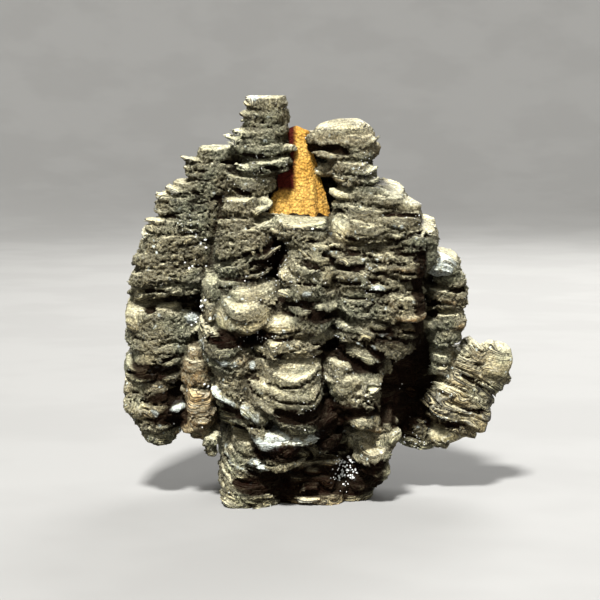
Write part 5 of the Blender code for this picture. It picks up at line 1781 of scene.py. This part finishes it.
# %% The ochre crystal's mesh
SPIRE_LOW = np.array([-16.0, -8.0, CRYSTAL_FOOT_HEIGHT - 1])
SPIRE_HIGH = np.array([10.0, 11.5, CRYSTAL_TIP[2] + 1])
SPIRE_STEP = 0.32
SKIN_IN = 0.2          # how far the skin lies inside the corners above
RIDGE_FOOT, RIDGE_TOP = (1.6, 70.0), (0.4, 84.0)     # across and height of its faint ridge
RIDGE_WIDE, RIDGE_OUT = 0.45, 0.30
VALLEY_BESIDE, VALLEY_WIDE, VALLEY_IN = 1.1, 0.4, 0.25     # the faint valley right of the ridge


def worn_spire(x, y, z):
    """How deep a place lies inside the spire, with its ridge, grain and pits."""
    depth = spire_depth(x, y, z) - SKIN_IN
    along = (z - RIDGE_FOOT[1]) / (RIDGE_TOP[1] - RIDGE_FOOT[1])
    ridge = RIDGE_FOOT[0] + (RIDGE_TOP[0] - RIDGE_FOOT[0]) * along
    depth = depth + RIDGE_OUT * np.exp(-((x - ridge) / RIDGE_WIDE) ** 2)
    depth = depth - VALLEY_IN * np.exp(-((x - ridge - VALLEY_BESIDE) / VALLEY_WIDE) ** 2)
    depth = depth + 0.20 * value_noise(x / 1.1, y / 1.1, z / 3.0, 41)
    depth = depth + 0.22 * value_noise(x / 0.6, y / 0.6, z / 0.6, 42)
    return depth - 0.6 * np.clip(value_noise(x / 1.6, y / 1.6, z / 1.8, 43) - 0.4, 0, 1)


count = np.ceil((SPIRE_HIGH - SPIRE_LOW) / SPIRE_STEP).astype(int)
axes = [(SPIRE_LOW[axis] + SPIRE_STEP * np.arange(count[axis])).astype(np.float32) for axis in range(3)]
spire_skin = skin(worn_spire(*np.broadcast_arrays(*np.ix_(*axes))), SPIRE_LOW, SPIRE_STEP)
print("spire triangles", triangle_count(spire_skin[1]))

# %% The ochre crystal's finish
SHADE_EDGE = -3.0      # the niche with the painted shadow is left of this and above SHADE_FOOT
SHADE_FOOT = 77.0
SHADE_ACROSS, SHADE_UP = 0.8, 1.2      # how softly its shade begins
GOLD = colour(188, 142, 62)
PALE_GOLD = colour(206, 164, 84)
BROWN_LINES = colour(150, 96, 38)
PAINTED_SHADOW_RUST_RED = colour(62, 16, 8)


def crystal_material():
    """Sandy gold with dark specks, and a painted rust-red shadow in the niche at its upper left."""
    nodes = Nodes("ochre_crystal_finish")
    lines = nodes.noise(900, detail=3, stretch=(1, 1, 0.12))
    grain = nodes.noise(2300, detail=4, roughness=0.75)
    grits = nodes.cells(1500)
    patches = nodes.noise(210, detail=4)
    body = nodes.mix(nodes.spread(patches, 0.35, 0.65), GOLD, PALE_GOLD)
    body = nodes.mix(nodes.spread(lines, 0.35, 0.6, 0.4, 0), body, BROWN_LINES)
    speckle = nodes.minus(grain, nodes.times(grits, 0.3))
    body = nodes.mix(1.0, body, nodes.spread(speckle, 0.15, 0.5, 0.5, 1.2), "MULTIPLY")
    # painted shadow of the shelves, in the niche at the upper left
    body = nodes.mix(nodes.attribute("shaded"), body, PAINTED_SHADOW_RUST_RED)
    sugary = nodes.bump(grits, 0.0005, 0.9, nodes.bump(lines, 0.0005, 0.4))
    return nodes.finish(body=body, dull=0.9, gloss=0.12, refraction=1.45,
                        relief=nodes.bump(grain, 0.0005, 0.7, sugary))


points, faces = spire_skin
# painted shadow: the part of the crystal that lies under the shelves at its upper left
shaded = np.clip((SHADE_EDGE - points[:, 0]) / SHADE_ACROSS, 0, 1)
shaded *= np.clip((points[:, 2] - SHADE_FOOT) / SHADE_UP, 0, 1)
spire = mesh_object("ochre_crystal_skin", points, faces, {"shaded": shaded})
spire.data.materials.append(crystal_material())
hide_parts("ochre_crystal")
print("spire from", points.min(0).round(2), "to", points.max(0).round(2))

# %% [markdown]
# ## Quartz grains
# Tiny quartz points sit on the calcite like sugar, thickest in one white cluster at the
# base. One grain is a short six-sided prism with a point at each end. All of them are
# one joined mesh: the shape is made once, and each copy is turned, sized and placed with
# a little arithmetic on arrays.

# %% One grain's shape
def grain_shape():
    """Points and triangles of a double-pointed six-sided prism one unit long."""
    angles = np.arange(6) * math.pi / 3
    ring = np.stack([0.28 * np.cos(angles), 0.28 * np.sin(angles)], 1)
    points = [(x, y, height) for height in (-0.22, 0.22) for x, y in ring]
    points = [(0, 0, -0.5)] + points + [(0, 0, 0.5)]
    faces = []
    for side in range(6):
        after = (side + 1) % 6
        faces += [(0, 1 + after, 1 + side), (13, 7 + side, 7 + after)]
        faces += [(1 + side, 1 + after, 7 + after), (1 + side, 7 + after, 7 + side)]
    return np.array(points), np.array(faces)


# %% Place the grains
GRAIN_PATCHES = [
    (342, 471, 3, 90, (0.3, 1)), (202, 303, 1.2, 6, (0.8, 1.3)), (195, 318, 1.2, 5, (0.7, 1.1)),
    (205, 247, 1, 3, (0.7, 1.1)), (191, 264, 1, 3, (0.7, 1.1)), (201, 267, 1, 2, (0.6, 1)),
    (312, 225, 1, 3, (0.7, 1.1)), (177, 424, 1.4, 6, (0.6, 1.1)), (203, 387, 1, 3, (0.7, 1.1)),
]
SCATTERED = 700


def place_grains(surfaces):
    """Points and triangles of all the grains."""
    dice = np.random.default_rng(2026)
    middles = np.concatenate([middles for name, middles, normals in surfaces])
    normals = np.concatenate([normals for name, middles, normals in surfaces])
    inside = read_block(WIDELY, LOW, COARSE, middles + normals * 2.0) > 0.93
    usable = np.nonzero((openness(middles) > 0.45) & ~inside & (middles[:, 2] > 4))[0]
    outside = np.nonzero(~inside & (normals[:, 1] < 0.2))[0]
    chosen, sizes = [], []
    for across, down, radius, count, (small, large) in GRAIN_PATCHES:
        near = outside[np.linalg.norm(middles[outside] - seen_at(across, down), axis=1) < radius + 1]
        picked = dice.choice(near, min(count, len(near)), replace=False)
        chosen.append(picked)
        sizes.append(dice.uniform(small, large, len(picked)))
    clustered = value_noise(*(middles[usable].T / 7).astype(np.float32), 51)
    likely = np.clip(clustered - 0.1, 0, 1) ** 2
    picked = dice.choice(usable, SCATTERED, replace=False, p=likely / likely.sum())
    chosen.append(picked)
    sizes.append(dice.uniform(0.25, 0.5, len(picked)))
    chosen, sizes = np.concatenate(chosen), np.concatenate(sizes)
    shape, faces = grain_shape()
    axis = normals[chosen] + dice.normal(0, 0.55, (len(chosen), 3))
    axis /= np.linalg.norm(axis, axis=1, keepdims=True)
    side = np.cross(axis, dice.normal(0, 1, (len(chosen), 3)))
    side /= np.linalg.norm(side, axis=1, keepdims=True)
    other = np.cross(axis, side)
    frames = np.stack([side, other, axis], 2)
    copies = np.einsum("nij,pj->npi", frames, shape) * sizes[:, None, None]
    copies += middles[chosen][:, None] + normals[chosen][:, None] * (0.12 * sizes)[:, None, None]
    numbers = faces[None] + (np.arange(len(chosen)) * len(shape))[:, None, None]
    return copies.reshape(-1, 3), numbers.reshape(-1, 3)[:, [0, 1, 2, 2]]


# %% The grains' finish
def quartz_material():
    """Clear to milky quartz."""
    nodes = Nodes("quartz_finish")
    milky = nodes.spread(nodes.noise(700, detail=2), 0.4, 0.6)
    body = nodes.mix(milky, colour(236, 240, 236), colour(250, 250, 246))
    return nodes.finish(body=body, relief=nodes.bump(nodes.noise(3000), 0.0001, 0.3), dull=0.12,
                        refraction=1.54, clear=0.15)


points, faces = place_grains(surfaces)
grains = mesh_object("quartz_grains", points, faces)
grains.data.materials.append(quartz_material())
print("grains", len(faces) // 24, "triangles", len(faces))

# %% [markdown]
# ## Floor and light
# The floor is plain and pale, and far out it curves up into a wall all round, so that no
# horizon shows from any side. A lamp at the upper left front makes the rims bright and
# leaves the clefts dark, and a weak lamp from the right keeps the shadows open.

# %% Floor
FLAT_RADIUS = 0.9      # metres
BEND_RADIUS = 0.9
BEND_STEPS = 17
FLAT_RINGS = (0.01, 0.25, 0.5, 0.75)     # of the flat radius
WALL_TOP = 2.0
FLOOR_SIDES = 96
FULL_TURN = 2 * math.pi


def floor_profile():
    """Radius and height along the floor, from its middle up the wall."""
    bend = [(FLAT_RADIUS + BEND_RADIUS * math.sin(turn), BEND_RADIUS * (1 - math.cos(turn)))
            for turn in np.linspace(0, math.pi / 2, BEND_STEPS)]
    return [(FLAT_RADIUS * share, 0.0) for share in FLAT_RINGS] + bend + [(bend[-1][0], WALL_TOP)]


shell = bmesh.new()
line = [shell.verts.new((radius, 0.0, height)) for radius, height in floor_profile()]
edges = [shell.edges.new(pair) for pair in zip(line, line[1:])]
bmesh.ops.spin(shell, geom=line + edges, axis=(0, 0, 1), cent=(0, 0, 0), angle=FULL_TURN,
               steps=FLOOR_SIDES, use_merge=True)
bmesh.ops.remove_doubles(shell, verts=shell.verts, dist=1e-5)
hole = [edge for edge in shell.edges if edge.is_boundary and edge.verts[0].co.z < 0.01]
bmesh.ops.holes_fill(shell, edges=hole, sides=0)
bmesh.ops.recalc_face_normals(shell, faces=shell.faces)
floor_mesh = bpy.data.meshes.new("floor")
shell.to_mesh(floor_mesh)
shell.free()
floor_mesh.shade_smooth()
floor = bpy.data.objects.new("floor", floor_mesh)
scene.collection.objects.link(floor)
paint = Nodes("floor_finish")
grey = paint.mix(paint.spread(paint.noise(14), 0.4, 0.6), colour(137, 136, 133), colour(141, 140, 137))
floor.data.materials.append(paint.finish(body=grey, dull=0.8))
print("floor faces", len(floor_mesh.polygons))

# %% Lamps
WARM_SKY = (1.0, 0.98, 0.95, 1)
SKY_STRENGTH = 0.17


def lamp(name, place, size, power):
    """A square soft lamp that looks at the specimen."""
    light = bpy.data.lights.new(name, "AREA")
    light.energy = power
    light.size = size
    thing = bpy.data.objects.new(name, light)
    scene.collection.objects.link(thing)
    thing.location = place
    thing.rotation_euler = (TARGET - Vector(place)).to_track_quat("-Z", "Y").to_euler()


lamp("key_lamp", (-0.29, -1.20, 1.71), 0.29, 118.0)
lamp("fill_lamp", (0.7, -0.5, 0.3), 0.5, 0.6)
lamp("back_lamp", (0.2, 0.7, 0.5), 0.4, 6.0)
studio = bpy.data.worlds.new("studio")
scene.world = studio
studio.use_nodes = True
sky = studio.node_tree.nodes["Background"]
sky.inputs["Color"].default_value = WARM_SKY
sky.inputs["Strength"].default_value = SKY_STRENGTH
print("sky strength", SKY_STRENGTH)
